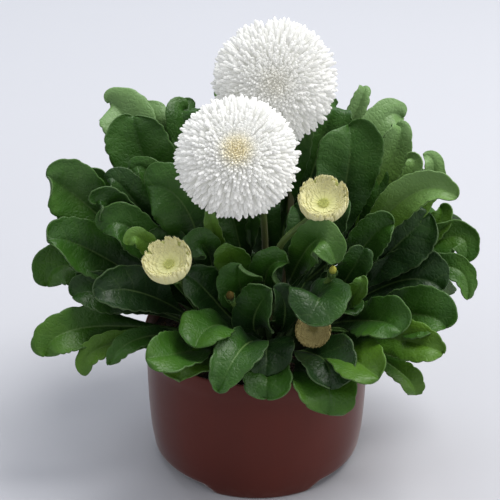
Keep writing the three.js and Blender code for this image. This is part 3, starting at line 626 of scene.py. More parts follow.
# %% The crown
def mound_surface(rows=26, columns=120):
    """A dome: radius falls as the cosine of the climb, with ribs round it that fade at the top."""
    radius, foot, rise = 28.5, 55, 17
    climb, around = np.linspace(0, 1, rows)[:, None], full_turn(columns)
    rib = 1 + 0.035 * np.abs(np.sin(17 * around + 3 * climb)) * (1 - climb)
    height = foot + 5 * smooth(climb * 6) + rise * np.sin(climb * np.pi / 2) ** 1.3
    return round_axis(radius * np.cos(climb * np.pi / 2) ** 0.75 * rib, around, height) + [*CROWN_CENTRE, 0]


def crown_finish():
    """Painted shade: dark green feet that turn nearly black towards the peat."""
    finish = Finish("crown_feet", 0.9, Specular_IOR_Level=0.08)
    cloud = finish.noise(120.0, 4.0)
    # Painted shade: darker low down on the mound, under the leaves.
    share = (finish.axis("Z") * 1000.0 + cloud * 8.0).step(64.0, 74.0)
    finish.colour(finish.blend(share, paint(10, 9, 6), paint(22, 36, 10)))
    finish.relief(finish.noise(300.0, 4.0), 0.5)
    return finish.material


crown = Skin()
mound = mound_surface()
crown.add_rings(mound)
crown.add(mound[0], triangles=closing_fan(0, mound.shape[1], flipped=True))
make_piece("crown_feet", crown, crown_finish(), "leaf", "leaves_and_stalks")

# %% [markdown]
# ## Flower stalks
#
# Each head stands on one leafless, hairy stalk. A stalk is a round profile carried along a smooth
# curve through a few points, and the hairs are thin three-sided spikes set by chance over it, each
# pointing outwards and a little up.

# %% Heads and the points of their stalks
SHUT_BUD_RADIUS = 2.1
HEADS = {
    "bloom_front": dict(at=(-9, -17, 161), facing=(0, -0.8, 0.6), scale=1.0,
                        stalk=[(3, 4, 57), (4, 7, 95), (2, 6, 128), (-5, 1, 145)], foot=11),
    "bloom_back": dict(at=(8, 26, 179.5), facing=(0, -0.94, 0.34), scale=1.045,
                       stalk=[(11, 12, 57), (16, 22, 110), (14, 42, 153), (9, 46, 169)], foot=11),
    "bud_left": dict(at=(-39, -38, 120), facing=(-0.25, -0.45, 0.86), scale=1.0,
                     stalk=[(-19, -2, 57), (-27, -14, 92), (-34, -29, 106)], foot=7),
    "bud_right": dict(at=(29, -26, 144), facing=(-0.1, -0.5, 0.86), scale=1.02,
                      stalk=[(5, -12, 57), (6, -17, 95), (10, -21, 119), (22, -24, 134)], foot=7),
    "bud_low": dict(at=(25, -42, 88.8), facing=(-0.1, -0.93, 0.32), scale=0.74,
                    stalk=[(9, -14, 57), (18, -22, 84)], foot=7),
    "closed_bud_centre": dict(at=(-12, -44, 107), facing=(-0.1, -0.5, 0.86), scale=1.0,
                              stalk=[(2, -12, 57), (-7, -30, 88)], foot=4),
    "closed_bud_right": dict(at=(33, -41, 118), facing=(0.1, -0.3, 0.95), scale=1.9 / SHUT_BUD_RADIUS,
                             stalk=[(8, -14, 57), (20, -26, 88), (29, -35, 106)], foot=4),
}


def head_axes(head):
    """Three directions of a head: two across it and its facing, as the rows of a turn."""
    facing = unit(np.array(head["facing"], float))
    first = unit(np.cross(UP, facing))
    return np.stack([first, np.cross(facing, first), facing])


def on_head(head, local):
    """Points given across, across and out of a head, moved to where the head is."""
    return np.asarray(local) * head["scale"] @ head_axes(head) + np.array(head["at"], float)


def smooth_path(points, steps):
    """A curve through all points: between two of them, a cubic with slopes from their neighbours."""
    points = np.array(points, float)
    padded = np.concatenate([[2 * points[0] - points[1]], points, [2 * points[-1] - points[-2]]])
    where = np.linspace(0, len(points) - 1 - 1e-9, steps)
    first = where.astype(int)
    t = (where - first)[:, None]
    a, b, c, d = (padded[first + k] for k in range(4))
    square, cube = 2 * a - 5 * b + 4 * c - d, 3 * b - a - 3 * c + d
    return 0.5 * (2 * b + (c - a) * t + square * t ** 2 + cube * t ** 3)


def carry_ring(path, radius, sides):
    """A ring of points round each place of a path: the side directions stay square to the path."""
    ahead = unit(np.gradient(path, axis=0))
    first = unit(np.cross(ahead, np.array([0.31, 0.95, 0.05])))
    second = np.cross(ahead, first)
    around = full_turn(sides)[None, :, None]
    ring = first[:, None] * np.cos(around) + second[:, None] * np.sin(around)
    return path[:, None] + ring * radius[:, None, None], ring


# %% Hairs
def add_hairs(skin, roots, outwards, length, thickness, rng, **marks):
    """Thin three-sided spikes: three points round each root and one at its leaning tip."""
    count = len(roots)
    lean = unit(outwards + rng.normal(0, 0.35, (count, 3)))
    one = unit(np.cross(lean, rng.normal(0, 1, (count, 3))))
    two = np.cross(lean, one)
    angle = (np.arange(3) * 2 * np.pi / 3)[:, None]
    base = roots[:, None] + thickness * (one[:, None] * np.cos(angle) + two[:, None] * np.sin(angle))
    tips = roots + lean * (length * rng.uniform(0.5, 1.1, (count, 1)))
    spike = [(0, 1, 3), (1, 2, 3), (2, 0, 3), (2, 1, 0)]
    skin.add_copies(np.concatenate([base, tips[:, None]], 1), spike, **marks)


# %% Stalks and their bracts
STALK_RADIUS = 1.7


def add_stalk(skin, head, rng):
    """A tapering tube from the crown to the foot of a head, closed at both ends, with hairs."""
    rows, sides, hairs = 60, 12, 260
    end = np.array(head["at"], float) - unit(np.array(head["facing"], float)) * head["foot"] * head["scale"]
    path = smooth_path([*head["stalk"], end], rows)
    along = np.linspace(0, 1, rows)
    slimmer = 0.8 if head["foot"] < 7 else 1
    radius = STALK_RADIUS - 0.35 * along + 0.25 * smooth((along - 0.92) / 0.08)
    points, ring = carry_ring(path, radius * slimmer, sides)
    skin.add_rings(points, flipped=True, young=0.0, height=np.repeat(along, sides))
    for row, flipped in ((0, False), (rows - 1, True)):
        skin.add(points[row], triangles=closing_fan(0, sides, flipped), young=0.0, height=along[row])
    picked = rng.integers(20, rows - 2, hairs), rng.integers(0, sides, hairs)
    add_hairs(skin, points[picked], ring[picked] + 0.3 * UP, 1.1, 0.05, rng, young=0.0, height=0.9)


def bract(width, length, rows=12, columns=6):
    """A pointed scale, flat at first: width falls to the tip as one less the cube of the way."""
    s, u = np.linspace(0, 1, rows)[:, None], np.linspace(-1, 1, columns + 1)[None, :]
    half = width / 2 * np.sqrt(np.clip(1 - s ** 3, 0, 1)) * (0.75 + 0.25 * np.sin(np.pi * s)) + 0.05
    return s * length + 0 * u, half * u


def add_bracts(skin, head, count, width, foot, tip, rng):
    """Rings of green scales that rise from a head's foot and hug the outside of its cup."""
    for layer in range(2):
        for k in range(count):
            around = 2 * np.pi * (k + layer / 2) / count + rng.normal(0, 0.03)
            run, across = bract(width, 1.0)
            bend = rng.normal(0, 0.35)
            radius = foot[0] + (tip[0] - foot[0]) * np.sin(run * np.pi / 2) + 0.3 * layer + bend * run ** 2
            height = foot[1] + (tip[1] - foot[1]) * run ** 1.5 - 0.2 * layer
            angle = around + across / np.maximum(radius, 1.2)
            local = round_axis(radius - 0.054 * across ** 2, angle, height)
            add_sheet(skin, on_head(head, local[:, ::-1]), 0.35, young=1.0 + 0 * run, height=0.6 + 0.4 * run)


def stalk_finish():
    """Light green that turns olive brown low down, with greener bracts and a fine grain."""
    finish = Finish("stalk_skin", 0.55)
    cloud = finish.noise(160.0, 3.0)
    low = 1.0 - (finish.mark("height") + (cloud - 0.5) * 0.3).step(0.15, 0.75)
    green = finish.blend(low, paint(86, 112, 48), paint(70, 64, 38))
    scale = finish.blend(cloud.step(0.3, 0.8), paint(50, 78, 28), paint(80, 110, 44))
    finish.colour(finish.blend(finish.mark("young"), green, scale))
    finish.relief(finish.noise(700.0, 2.0), 0.15)
    return finish.material


# First word of a head's name: bracts in a ring, width, then radius and height of foot and of tip
BRACTS = {"bloom": (13, 3.4, (2.0, -13.0), (9.5, -5.8)), "bud": (12, 3.0, (1.6, -8.4), (8.6, -2.0)),
          "closed": (7, 1.6, (0.8, -4.6), (2.0, -0.6))}
stalks = Skin()
stalk_rng = np.random.default_rng(21)
for head_name, head in HEADS.items():
    add_stalk(stalks, head, stalk_rng)
    add_bracts(stalks, head, *BRACTS[head_name.split("_")[0]], stalk_rng)
make_piece("flower_stalks", stalks, stalk_finish(), "leaf", "leaves_and_stalks")

# %% [markdown]
# ## The pompon blooms
#
# A pompon is hundreds of ray florets, each rolled into a quill: long outer ones that droop into a
# toothed skirt, and ever shorter ones towards the middle, where the last, unopened ones are cream
# yellow. They could be copied as instances, but each is bent and sized by its place, so all of
# them are worked out at once as one array: florets, rings along each, and points round each ring.
# Their places follow the golden angle, packed closer towards the middle, with a little chance.

# %% Where the florets stand
BLOOM_RADIUS, BLOOM_DOME = 27.5, 19.5
SKIRT_ANGLE = math.radians(113)


def reach(polar):
    """How far the outside of a bloom lies from its middle: an ellipse that draws in past its rim."""
    droop = 1 - 0.1 * smooth((polar - 1.4) / 0.5)
    return droop / np.hypot(np.sin(polar) / BLOOM_RADIUS, np.cos(polar) / BLOOM_DOME)


def floret_spacing(polar):
    """Millimetres from tip to tip: close at the middle, wide at the skirt."""
    return 1.12 + 1.15 * smooth(polar / 1.35)


def floret_places(rng):
    """Polar and turning angles of all florets: each takes an area set by the spacing at its angle."""
    polar = np.linspace(0.005, SKIRT_ANGLE, 2000)
    area = 2 * np.pi * reach(polar) ** 2 * np.sin(polar)
    grown = np.cumsum(area / floret_spacing(polar) ** 2) * (polar[1] - polar[0])
    count = int(grown[-1])
    placed = np.interp(np.arange(count) + 0.5, grown, polar) + rng.normal(0, 0.01, count)
    around = np.arange(count) * GOLDEN_ANGLE + rng.normal(0, 0.03, count)
    return np.abs(placed), around


def aimed(around, polar):
    """Directions at a turn round the axis and an angle away from it."""
    return round_axis(np.sin(polar), around, np.cos(polar))


# %% Florets as one array
ALONG = np.array([0.0, 0.45, 0.7, 0.85, 0.94, 0.985, 1.0])
SWELLING = np.array([0.4, 0.62, 0.86, 1.0, 1.0, 0.82, 0.5])
SIDES = 6
CORE_SHARE = 0.76


def floret_rings(polar, around, tip, rng):
    """The path of each quill, its heading there, and a ring of points round each of its levels."""
    count = len(polar)
    root = aimed(around, 0.6 * polar) * (0.5 * reach(0.6 * polar))[:, None]
    outward = math.radians(24) * np.sin(np.pi * polar / math.radians(105))
    heading = polar + outward + rng.normal(0, 0.07, count)
    length = np.linalg.norm(tip - root, axis=1)[:, None]
    sideways = np.stack([-np.sin(around), np.cos(around), 0 * around], -1)
    bend = tip - aimed(around, heading) * 0.55 * length + sideways * rng.normal(0, 0.22, (count, 1))
    line = ALONG[None, :, None], root[:, None], bend[:, None], tip[:, None]
    path, ahead = bent(*line), bent_heading(*line)
    across = unit(sideways[:, None] - (sideways[:, None] * ahead).sum(-1, keepdims=True) * ahead)
    above = np.cross(ahead, across)
    roll = rng.normal(0, 0.2, count)[:, None, None]
    across, above = across * np.cos(roll) + above * np.sin(roll), above * np.cos(roll) - across * np.sin(roll)
    outer = smooth(polar / 1.35)
    width = (0.86 - 0.02 * outer) * floret_spacing(polar) * rng.uniform(0.88, 1.1, count)
    flat = (0.85 - 0.4 * outer)[:, None, None]
    angle = (np.arange(SIDES) + 0.5) * 2 * np.pi / SIDES
    pushed_in = np.where(np.abs(angle - np.pi / 2) < 0.1, 0.25, 1.0)
    size = (width[:, None] * SWELLING)[..., None] / 2
    x, y = np.cos(angle) * size, np.sin(angle) * pushed_in * size * flat
    rings = path[:, :, None] + across[:, :, None] * x[..., None] + above[:, :, None] * y[..., None]
    return path, ahead, width, rings


def add_florets(skin, head, seed, open_tubes, cream):
    """Quills from the core out to the bloom's surface, each leaning outwards over the next.

    The path is a curve with one bend, set back from the tip along the way that the tip heads.
    Round it goes a flattened six-sided ring whose top is pushed in, the channel of the rolled
    petal. The last rings narrow to a round end, and in an open tube they turn into its mouth.
    """
    rng = np.random.default_rng(seed)
    polar, around = floret_places(rng)
    count = len(polar)
    tip = aimed(around, polar) * (reach(polar) * (1 + rng.normal(0, 0.022, count)))[:, None]
    path, ahead, width, rings = floret_rings(polar, around, tip, rng)
    hollow = (open_tubes * (1 - smooth((polar - 0.7) / 0.5)) * 1.4 - 0.35) * width * 0.6
    mouth = path[:, -1:] - ahead[:, -1:] * (0.4 * hollow)[:, None, None]
    inner = mouth[:, :, None] + (rings[:, -1:] - path[:, -1:, None]) * 0.6
    end = path[:, -1] - ahead[:, -1] * hollow[:, None]
    rings = np.concatenate([rings, inner], 1)
    levels = rings.shape[1]
    points = np.concatenate([rings.reshape(count, -1, 3), end[:, None]], 1)
    last, ring = (levels - 1) * SIDES, np.arange(SIDES)
    tip_fan = np.stack([last + ring, last + (ring + 1) % SIDES, np.full(SIDES, levels * SIDES)], -1)
    triangles = np.concatenate([tip_fan, closing_fan(0, SIDES, flipped=True)])
    shade = np.append(np.repeat(np.append(ALONG, 0.8), SIDES), 0.5)
    young = cream * (1 - smooth((polar - 0.05) / 0.5))
    skin.add_copies(on_head(head, points), triangles, grid_faces(levels, SIDES, wrap=True), along=shade,
                    young=young[:, None], tint=rng.uniform(0, 1, (count, 1)))
    print(count, "florets")


def add_core(skin, head, share, cream):
    """A closed body inside the florets: the bloom's own outline, drawn in by a share."""
    sides = 32
    polar = np.concatenate([np.linspace(0.02, 1.9, 14), [2.3, 3.1]])
    far = (share + 0.12 * (1 - smooth(polar / 0.7))) * reach(polar)
    outline = np.stack([far * np.sin(polar), np.maximum(far * np.cos(polar), -4.8)], -1)
    core = on_head(head, turned_surface(outline, sides))
    young = np.repeat(cream * (1 - smooth(polar / 0.4)), sides)
    skin.add_rings(core, flipped=True, along=0.9, young=young, tint=0.5)


# %% [markdown]
# ### The petal finish
#
# White petals are never one flat white: they are thin, so deep between them the light is greenish
# grey, and the tips are bright. The youngest florets are cream. A little light passes through them,
# which a mix with a translucent shader gives, and a faint glow stands in for the light that is
# scattered many times between packed petals.

# %% The petal finish
SCATTERED = 0.09


def petal_finish(name, deep, body, centre, through):
    """From the deep colour at the root to the body colour at the tip, and to centre where young."""
    finish = Finish(name, 0.62, Specular_IOR_Level=0.3)
    along, young = finish.mark("along"), finish.mark("young")
    shade = finish.blend((along + (finish.mark("tint") - 0.5) * 0.35).step(0.3, 0.9), deep, body)
    finish.colour(finish.blend(young * (1.15 - along * 0.35), shade, centre))
    finish.relief(finish.noise(900.0, 2.0), 0.08)
    finish.shader.inputs["Emission Color"].default_value = body
    finish.shader.inputs["Emission Strength"].default_value = SCATTERED
    thin = finish.tree.nodes.new("ShaderNodeBsdfTranslucent")
    thin.inputs["Color"].default_value = body
    mix = finish.tree.nodes.new("ShaderNodeMixShader")
    mix.inputs[0].default_value = through
    output = finish.tree.nodes["Material Output"]
    finish.tree.links.new(finish.shader.outputs[0], mix.inputs[1])
    finish.tree.links.new(thin.outputs[0], mix.inputs[2])
    finish.tree.links.new(mix.outputs[0], output.inputs[0])
    return finish.material


WHITE_PETAL = petal_finish("white_petal", paint(226, 228, 218), paint(249, 249, 247),
                           paint(252, 238, 180), 0.42)

# %% Grow the blooms
# name, seed, how open the tubes are, how cream the middle is
BLOOMS = [("bloom_front", 3, 0.5, 0.9), ("bloom_back", 8, 1.0, 0.12)]
for bloom_name, seed, open_tubes, cream in BLOOMS:
    bloom = Skin()
    add_florets(bloom, HEADS[bloom_name], seed, open_tubes, cream)
    add_core(bloom, HEADS[bloom_name], CORE_SHARE, cream)
    make_piece(bloom_name + "_florets", bloom, WHITE_PETAL, "petal_white", bloom_name)

# %% [markdown]
# ## The half-open buds
#
# Before it opens, the head is a cup of short cream petals packed side by side, with ragged round
# tips, and a green-yellow floor of florets that have not grown yet. The cup could be one turned
# bowl with a noisy rim, but then its petals wouldn't overlap. So each petal is a small sheet laid on
# a curve of radius and height: two rings stand on the bowl, and five lie on a funnel inside it, each
# ending lower than the one around it. Petals stayed short at five notches of the rim.

# %% Cup petals
def add_ligules(skin, head, layer, rng, notches):
    """One ring of strap petals, each laid along a curve with one bend, to a toothed tip.

    The curve runs in the plane of radius and height. A ring may end part of the way along it and
    lie a little above it, so that rings on one curve overlap like roof tiles. Petals that stand
    at a notch of the cup are shorter.
    """
    count, curve, share, lift, young = layer
    foot, bulge, rim = np.array(curve, float)
    s, u = np.linspace(0, 1, 9)[:, None], np.linspace(-1, 1, 7)[None, :]
    start = rng.uniform(0, 6.3)
    for k in range(count):
        around = start + 2 * np.pi * k / count + rng.normal(0, 0.025)
        gap = np.exp(-(np.angle(np.exp(1j * (notches - around))) / 0.085) ** 2).sum()
        t = s * share * (1 - 0.26 * min(gap, 1) * share ** 3 + rng.normal(0, 0.03))
        way = bent(t[..., None], foot, bulge, rim)
        tip = smooth((s - 0.8) / 0.2)
        half = 0.64 * 2 * np.pi * way[..., 0] / count * (1 - 0.5 * tip)
        tooth = rng.uniform(0.3, 0.8) * np.cos(1.7 * np.pi * u + rng.normal(0, 0.4)) * tip
        radius = way[..., 0] - 0.2 * u ** 2 * s - 0.5 * lift + rng.normal(0, 0.12) * s ** 2
        angle = around + half * u / np.maximum(radius, 1.0)
        height = way[..., 1] + tooth + lift + rng.uniform(0.0, 0.25) * smooth((s - 0.7) / 0.3) ** 2
        local = round_axis(radius, angle, height)
        add_sheet(skin, on_head(head, local[:, ::-1]), 0.2, along=0.4 + 0.6 * s + 0 * u,
                  young=young * (1 - 0.6 * s) + 0 * u, tint=rng.uniform() + 0 * u * s)


def add_disc(skin, head, rng):
    """Beads on a golden-angle spiral over a low dome: the unopened florets at the floor of the cup."""
    count, levels, sides = 60, 5, 7
    k = np.arange(count)
    radius = 2.3 * np.sqrt((k + 0.5) / count)
    seat = round_axis(radius, k * GOLDEN_ANGLE, -0.5 - 0.03 * radius ** 2)
    bead = ball(np.linspace(0.05, 2.0, levels), sides, stretch=2.4)
    size = (0.28 + 0.04 * radius) * rng.uniform(0.85, 1.15, count)
    points = seat[:, None] + bead.reshape(1, -1, 3) * size[:, None, None]
    quads = grid_faces(levels, sides, wrap=True)[:, ::-1]
    young = (1.0 - 0.07 * radius)[:, None]
    skin.add_copies(on_head(head, points), closing_fan(0, sides), quads, along=0.8, young=young, tint=0.5)


# Radius and height: from the foot out to the petals' feet and over the floor of the cup
FLOOR_PROFILE = np.array([(0.01, -5.0), (3.4, -4.9), (7.4, -3.6), (9.2, -1.2), (9.9, 2.0), (9.8, 3.6),
                          (9.0, 1.6), (7.4, -0.2), (5.0, -1.1), (2.4, -1.4), (0.01, -1.4)])


def add_cup_floor(skin, head):
    """The solid floor of the cup."""
    skin.add_rings(on_head(head, turned_surface(FLOOR_PROFILE, 28)), along=0.3, young=0.9, tint=0.5)


CREAM_PETAL = petal_finish("cream_petal", paint(212, 205, 148), paint(230, 226, 180),
                           paint(184, 194, 100), 0.3)
SHADED_PETAL = petal_finish("shaded_petal", paint(50, 42, 24), paint(158, 146, 96), paint(100, 100, 50), 0.1)

# The curves of radius and height that the petals lie on, and the rings on each of them: how many
# petals, the curve, the share of it that they cover, how far above it they lie, and how green
BOWL = ((3.4, -4.9), (11.9, -4.5), (10.7, 5.0))
BOWL_INSIDE = ((3.4, -4.3), (11.0, -3.9), (10.1, 5.2))
FUNNEL = ((1.4, -1.2), (7.4, -1.3), (10.1, 4.8))
CUP_RINGS = [(34, BOWL, 1.0, 0.0, 0.0), (32, BOWL_INSIDE, 1.0, 0.0, 0.04), (30, FUNNEL, 1.0, 0.0, 0.1),
             (28, FUNNEL, 0.88, 0.1, 0.16), (25, FUNNEL, 0.76, 0.2, 0.26), (20, FUNNEL, 0.62, 0.3, 0.4),
             (15, FUNNEL, 0.46, 0.4, 0.6)]

# Turns round the bud at which its rim is notched
NOTCHES = np.pi / 2 + np.array([-1.5, -0.8, -0.15, 0.55, 1.3])

# %% Grow the buds
for bud_name, seed in (("bud_left", 5), ("bud_right", 6), ("bud_low", 7)):
    bud = Skin()
    bud_rng = np.random.default_rng(seed)
    head = HEADS[bud_name]
    notches = NOTCHES + bud_rng.normal(0, 0.12, len(NOTCHES))
    for layer in CUP_RINGS:
        add_ligules(bud, head, layer, bud_rng, notches)
    add_disc(bud, head, bud_rng)
    add_cup_floor(bud, head)
    petal = SHADED_PETAL if bud_name == "bud_low" else CREAM_PETAL
    make_piece(bud_name + "_petals", bud, petal, "petal_cream", bud_name)

# %% [markdown]
# ## Shut buds and a withered leaf
#
# Two small buds are still shut: drops with faint seams where their petals meet. One old leaf lies
# on the peat by the rim, brown, dry and curled along its edges.

# %% Shut buds
def add_shut_bud(skin, head):
    """A drop whose radius swells and closes along its height, with eight shallow seams."""
    rows, sides = 20, 48
    climb, around = np.linspace(0, 1, rows)[:, None], full_turn(sides)
    radius = SHUT_BUD_RADIUS * np.sin(np.pi * np.clip(climb, 0.02, 0.985)) ** 0.6 * (1 - 0.35 * climb)
    radius = radius * (1 + 0.05 * np.abs(np.cos(4 * around)) * np.sin(np.pi * climb))
    shape = round_axis(radius, around, -2.5 + 5.9 * climb)
    skin.add_rings(on_head(head, shape), along=climb + 0 * around)


def shut_bud_finish(name, low, high):
    """One colour low on the bud and another at its tip."""
    finish = Finish(name, 0.6, Specular_IOR_Level=0.15)
    finish.colour(finish.blend((finish.mark("along") + finish.noise(500.0) * 0.3).step(0.35, 0.9), low, high))
    finish.relief(finish.noise(1200.0), 0.1)
    return finish.material


# The centre bud is brown, and its colours are darkened further by painted shade, low under the front bloom;
# the right one is green and cream.
for bud_name, low, high in (("closed_bud_centre", paint(34, 32, 12), paint(72, 60, 22)),
                            ("closed_bud_right", paint(92, 110, 38), paint(160, 158, 66))):
    shut = Skin()
    add_shut_bud(shut, HEADS[bud_name])
    skin_finish = shut_bud_finish(bud_name + "_skin", low, high)
    make_piece(bud_name + "_drop", shut, skin_finish, "bud_green", bud_name)

# %% The withered leaf
def withered_surface(rows=24, columns=13):
    """A short leaf whose width swells and narrows, with edges that curl up and a buckled length."""
    v, u = np.linspace(0, 1, rows)[:, None], np.linspace(-1, 1, columns)[None, :]
    half = 3.2 * np.sin(np.pi * (0.12 + 0.8 * v)) + 0.3
    crumple = 0.25 * np.sin(23 * v + 4 * u) * u
    height = SOIL_TOP + 0.85 + 1.4 * u * u + 1.2 * np.sin(4 * v) + crumple
    return np.stack([43 + half * u + 1.5 * v, -12 + 17 * v + 0 * u, height], -1)


def withered_finish():
    """Blotched red-brown, dry and dull."""
    finish = Finish("withered_leaf", 0.85)
    blotch = finish.noise(260.0, 5.0).step(0.3, 0.7)
    finish.colour(finish.blend(blotch, paint(72, 38, 22), paint(134, 88, 52)))
    finish.relief(finish.noise(600.0, 4.0), 0.4)
    return finish.material


withered = Skin()
add_sheet(withered, withered_surface()[:, ::-1], 0.5)
make_piece("withered_leaf", withered, withered_finish(), "dried_leaf", "dried_leaf")

# %% [markdown]
# ## The pot
#
# The pot is one thin moulding: a nearly straight wall, a shallow lip, and a foot ring cut by three
# low arches so that water can run out. A profile turned round an axis gives all of it, and the
# arches come from lifting the lowest points of the turned surface.

# %% The pot's profile
POT_PROFILE = np.array([
    (0, 0), (12, 0), (25, 0), (26.4, 0.3), (28, 3), (29.4, 3.5), (36, 3.5), (41, 3.5), (42.4, 3.1),
    (43.6, 0.6), (44.4, 0), (46.5, 0), (48.6, 0), (49.2, 0.25), (49.5, 0.9), (49.9, 2.8), (50.4, 5),
    (51.1, 9.5), (51.7, 14), (52.2, 21), (52.6, 30), (52.8, 40), (52.8, 50), (52.85, 54), (52.95, 56),
    (53.2, 57.6), (53.42, 59), (53.55, 60.5), (53.6, 62), (53.6, 64.6), (53.45, 65.5), (53.05, 66),
    (52.6, 65.8), (52.3, 65.2), (52.2, 62), (51.5, 57), (51.4, 45), (51.2, 30), (50.4, 15), (49.4, 8),
    (47.6, 6.3), (44, 5.3), (36, 5.1), (31, 5.1), (28.6, 4.4), (26.6, 2.0), (24, 1.8), (12, 1.8),
    (0, 1.8)], float)
ARCH_MIDDLE, ARCH_HALF_ANGLE, ARCH_SLOPE = math.radians(93), math.radians(36), math.radians(11)
ARCH_HEIGHT, FOOT_INNER_RADIUS, FOOT_TOP, POT_SIDES = 4.2, 42.2, 6, 240


def lift_arches(points, in_foot):
    """Raise the foot to a low flat arch over three directions, a third of a turn apart."""
    around = np.arctan2(points[..., 1], points[..., 0])
    third = 2 * np.pi / 3
    off = np.abs((around - ARCH_MIDDLE + third / 2) % third - third / 2)
    arch = ARCH_HEIGHT * smooth((ARCH_HALF_ANGLE - off) / ARCH_SLOPE)
    here = in_foot[:, None] & (np.hypot(points[..., 0], points[..., 1]) > FOOT_INNER_RADIUS)
    lifted = points.copy()
    lifted[..., 2] = np.where(here, np.maximum(points[..., 2], arch), points[..., 2])
    return lifted


def finer(profile, longest):
    """The same profile with points added, so that no piece of it is longer than given."""
    out = [profile[0]]
    for a, b in zip(profile, profile[1:]):
        steps = max(1, math.ceil(np.linalg.norm(b - a) / longest))
        out.extend(a + (b - a) * k / steps for k in range(1, steps + 1))
    return np.array(out)


# %% [markdown]
# The plastic is a dark red-brown with a satin skin. Its wall carries the faint upright streaks and
# fine orange-peel of the mould, and the foot has picked up a little pale dust.

# %% The pot's finish and mesh
def pot_finish():
    """Red-brown plastic with slow colour drift, mould streaks, orange peel and dust on the foot."""
    finish = Finish("pot_plastic", 0.5, Specular_IOR_Level=0.2, Sheen_Weight=0.36, Sheen_Roughness=0.35)
    height = finish.axis("Z") * 1000.0
    squeezed = finish.node("ShaderNodeMapping", None, {"Vector": finish.place(), "Scale": (1.0, 1.0, 0.12)})
    streak = finish.noise(90.0, 3.0, at=squeezed)
    drift = finish.noise(18.0, 3.0)
    peel = finish.noise(900.0, 2.0)
    brown = finish.blend((drift + (streak - 0.5) * 0.4).step(0.2, 0.8), paint(75, 26, 16), paint(83, 30, 19))
    dust = (1.0 - height.step(0.5, 9.0)) * finish.noise(200.0, 4.0).step(0.42, 0.75)
    finish.colour(finish.blend(dust * 0.25, brown, paint(120, 88, 78)))
    finish.gloss(0.42 + 0.12 * streak + 0.25 * dust)
    finish.relief(peel * 0.5 + streak * 0.5, 0.07, 0.6)
    return finish.material


pot_profile = finer(POT_PROFILE, 4.0)
in_foot = np.arange(len(pot_profile)) <= np.flatnonzero(pot_profile[:, 1] > FOOT_TOP)[0]
pot_points = lift_arches(turned_surface(pot_profile, POT_SIDES), in_foot)
pot_skin = Skin()
pot_skin.add_rings(pot_points)
make_piece("pot_moulding", pot_skin, pot_finish(), "pot_plastic", "pot")

# %% [markdown]
# ## The potting mix
#
# Dark peat fills the pot to just under the rim. Its top is a surface lifted by layers of noise,
# with loose crumbs on it. Below, it only has to fill the pot.

# %% Peat
def value_noise(x, y, seed):
    """Random heights on whole-number places, joined smoothly between them."""
    rng = np.random.default_rng(seed)
    table = rng.uniform(-1, 1, (64, 64))
    i, j = np.floor(x).astype(int), np.floor(y).astype(int)
    fx, fy = smooth(x - i), smooth(y - j)
    at = lambda a, b: table[a % 64, b % 64]
    low = at(i, j) * (1 - fx) + at(i + 1, j) * fx
    high = at(i, j + 1) * (1 - fx) + at(i + 1, j + 1) * fx
    return low * (1 - fy) + high * fy


def peat_height(x, y):
    """Height of the peat's top: a heap near the left wall and three layers of noise, each finer."""
    lumps = 0.9 * value_noise(x / 7 + 40, y / 7 + 40, 1) + 0.6 * value_noise(x / 3 + 40, y / 3 + 40, 2)
    heaped = 3.6 * np.exp(-((x + 42) ** 2 + (y + 12) ** 2) / 200)
    return SOIL_TOP - 0.6 + heaped + lumps + 0.35 * value_noise(x / 1.2 + 90, y / 1.2 + 90, 3)


def peat_surface(sides=200):
    """A disc of rings out to the wall, then down the wall and back in along the floor."""
    rings, around = np.linspace(0.4, 50.8, 72)[:, None], full_turn(sides)
    x, y = rings * np.cos(around), rings * np.sin(around)
    top = np.stack([x, y, peat_height(x, y)], -1)
    wall = [(50.9, 57.5), (50.8, 40), (49.9, 15), (47.6, 8), (44, 6.3), (30, 6.2), (26, 2.9), (0.4, 2.9)]
    return np.concatenate([top, turned_surface(np.array(wall), sides)])


def add_crumbs(skin, count, rng):
    """Lumps scattered over the peat: a ball of few faces, each point pushed in or out by chance."""
    levels, sides = 4, 6
    lump = ball(np.linspace(0.3, np.pi - 0.3, levels), sides).reshape(-1, 3)
    radius, around = 49 * np.sqrt(rng.uniform(0, 1, count)), rng.uniform(0, 2 * np.pi, count)
    seat = round_axis(radius, around, 0.0)
    seat[:, 2] = peat_height(seat[:, 0], seat[:, 1]) + 0.1
    size = rng.uniform(0.3, 1.15, (count, 1, 1)) * rng.uniform(0.6, 1.3, (count, 1, 3))
    points = seat[:, None] + lump * size * rng.uniform(0.75, 1.2, (count, len(lump), 1))
    caps = closing_fan(0, sides) + closing_fan(len(lump) - sides, sides, flipped=True)
    quads = grid_faces(levels, sides, wrap=True)[:, ::-1]
    skin.add_copies(points, caps, quads, crumb=rng.uniform(0, 1, (count, 1)))


def peat_finish():
    """Nearly black brown with lighter fibres and crumbs."""
    finish = Finish("peat", 0.95, Specular_IOR_Level=0.2)
    fibre = finish.noise(420.0, 6.0, 0.7)
    dark = finish.blend(fibre.step(0.35, 0.75), paint(16, 12, 9), paint(46, 34, 25))
    finish.colour(finish.blend(finish.mark("crumb") ** 3.0, dark, paint(84, 64, 44)))
    finish.relief(fibre, 0.9)
    return finish.material


peat = Skin()
peat.add_rings(peat_surface(), flipped=True, crumb=0.0)
add_crumbs(peat, 1500, np.random.default_rng(31))
make_piece("potting_mix_peat", peat, peat_finish(), "soil", "potting_mix")

# %% [markdown]
# ## Floor, light and camera
#
# The plant stands in a small studio: a pale, faintly lilac sheet that runs on behind it. Light falls
# from five soft squares: a strong one high on the right, a weak one on the left, two low ones that
# reach under the leaves, and a bluish one behind, which gives the leaves their sheen. A pale
# surround fills the shadows. The camera looks down by about 28 degrees through a long lens.

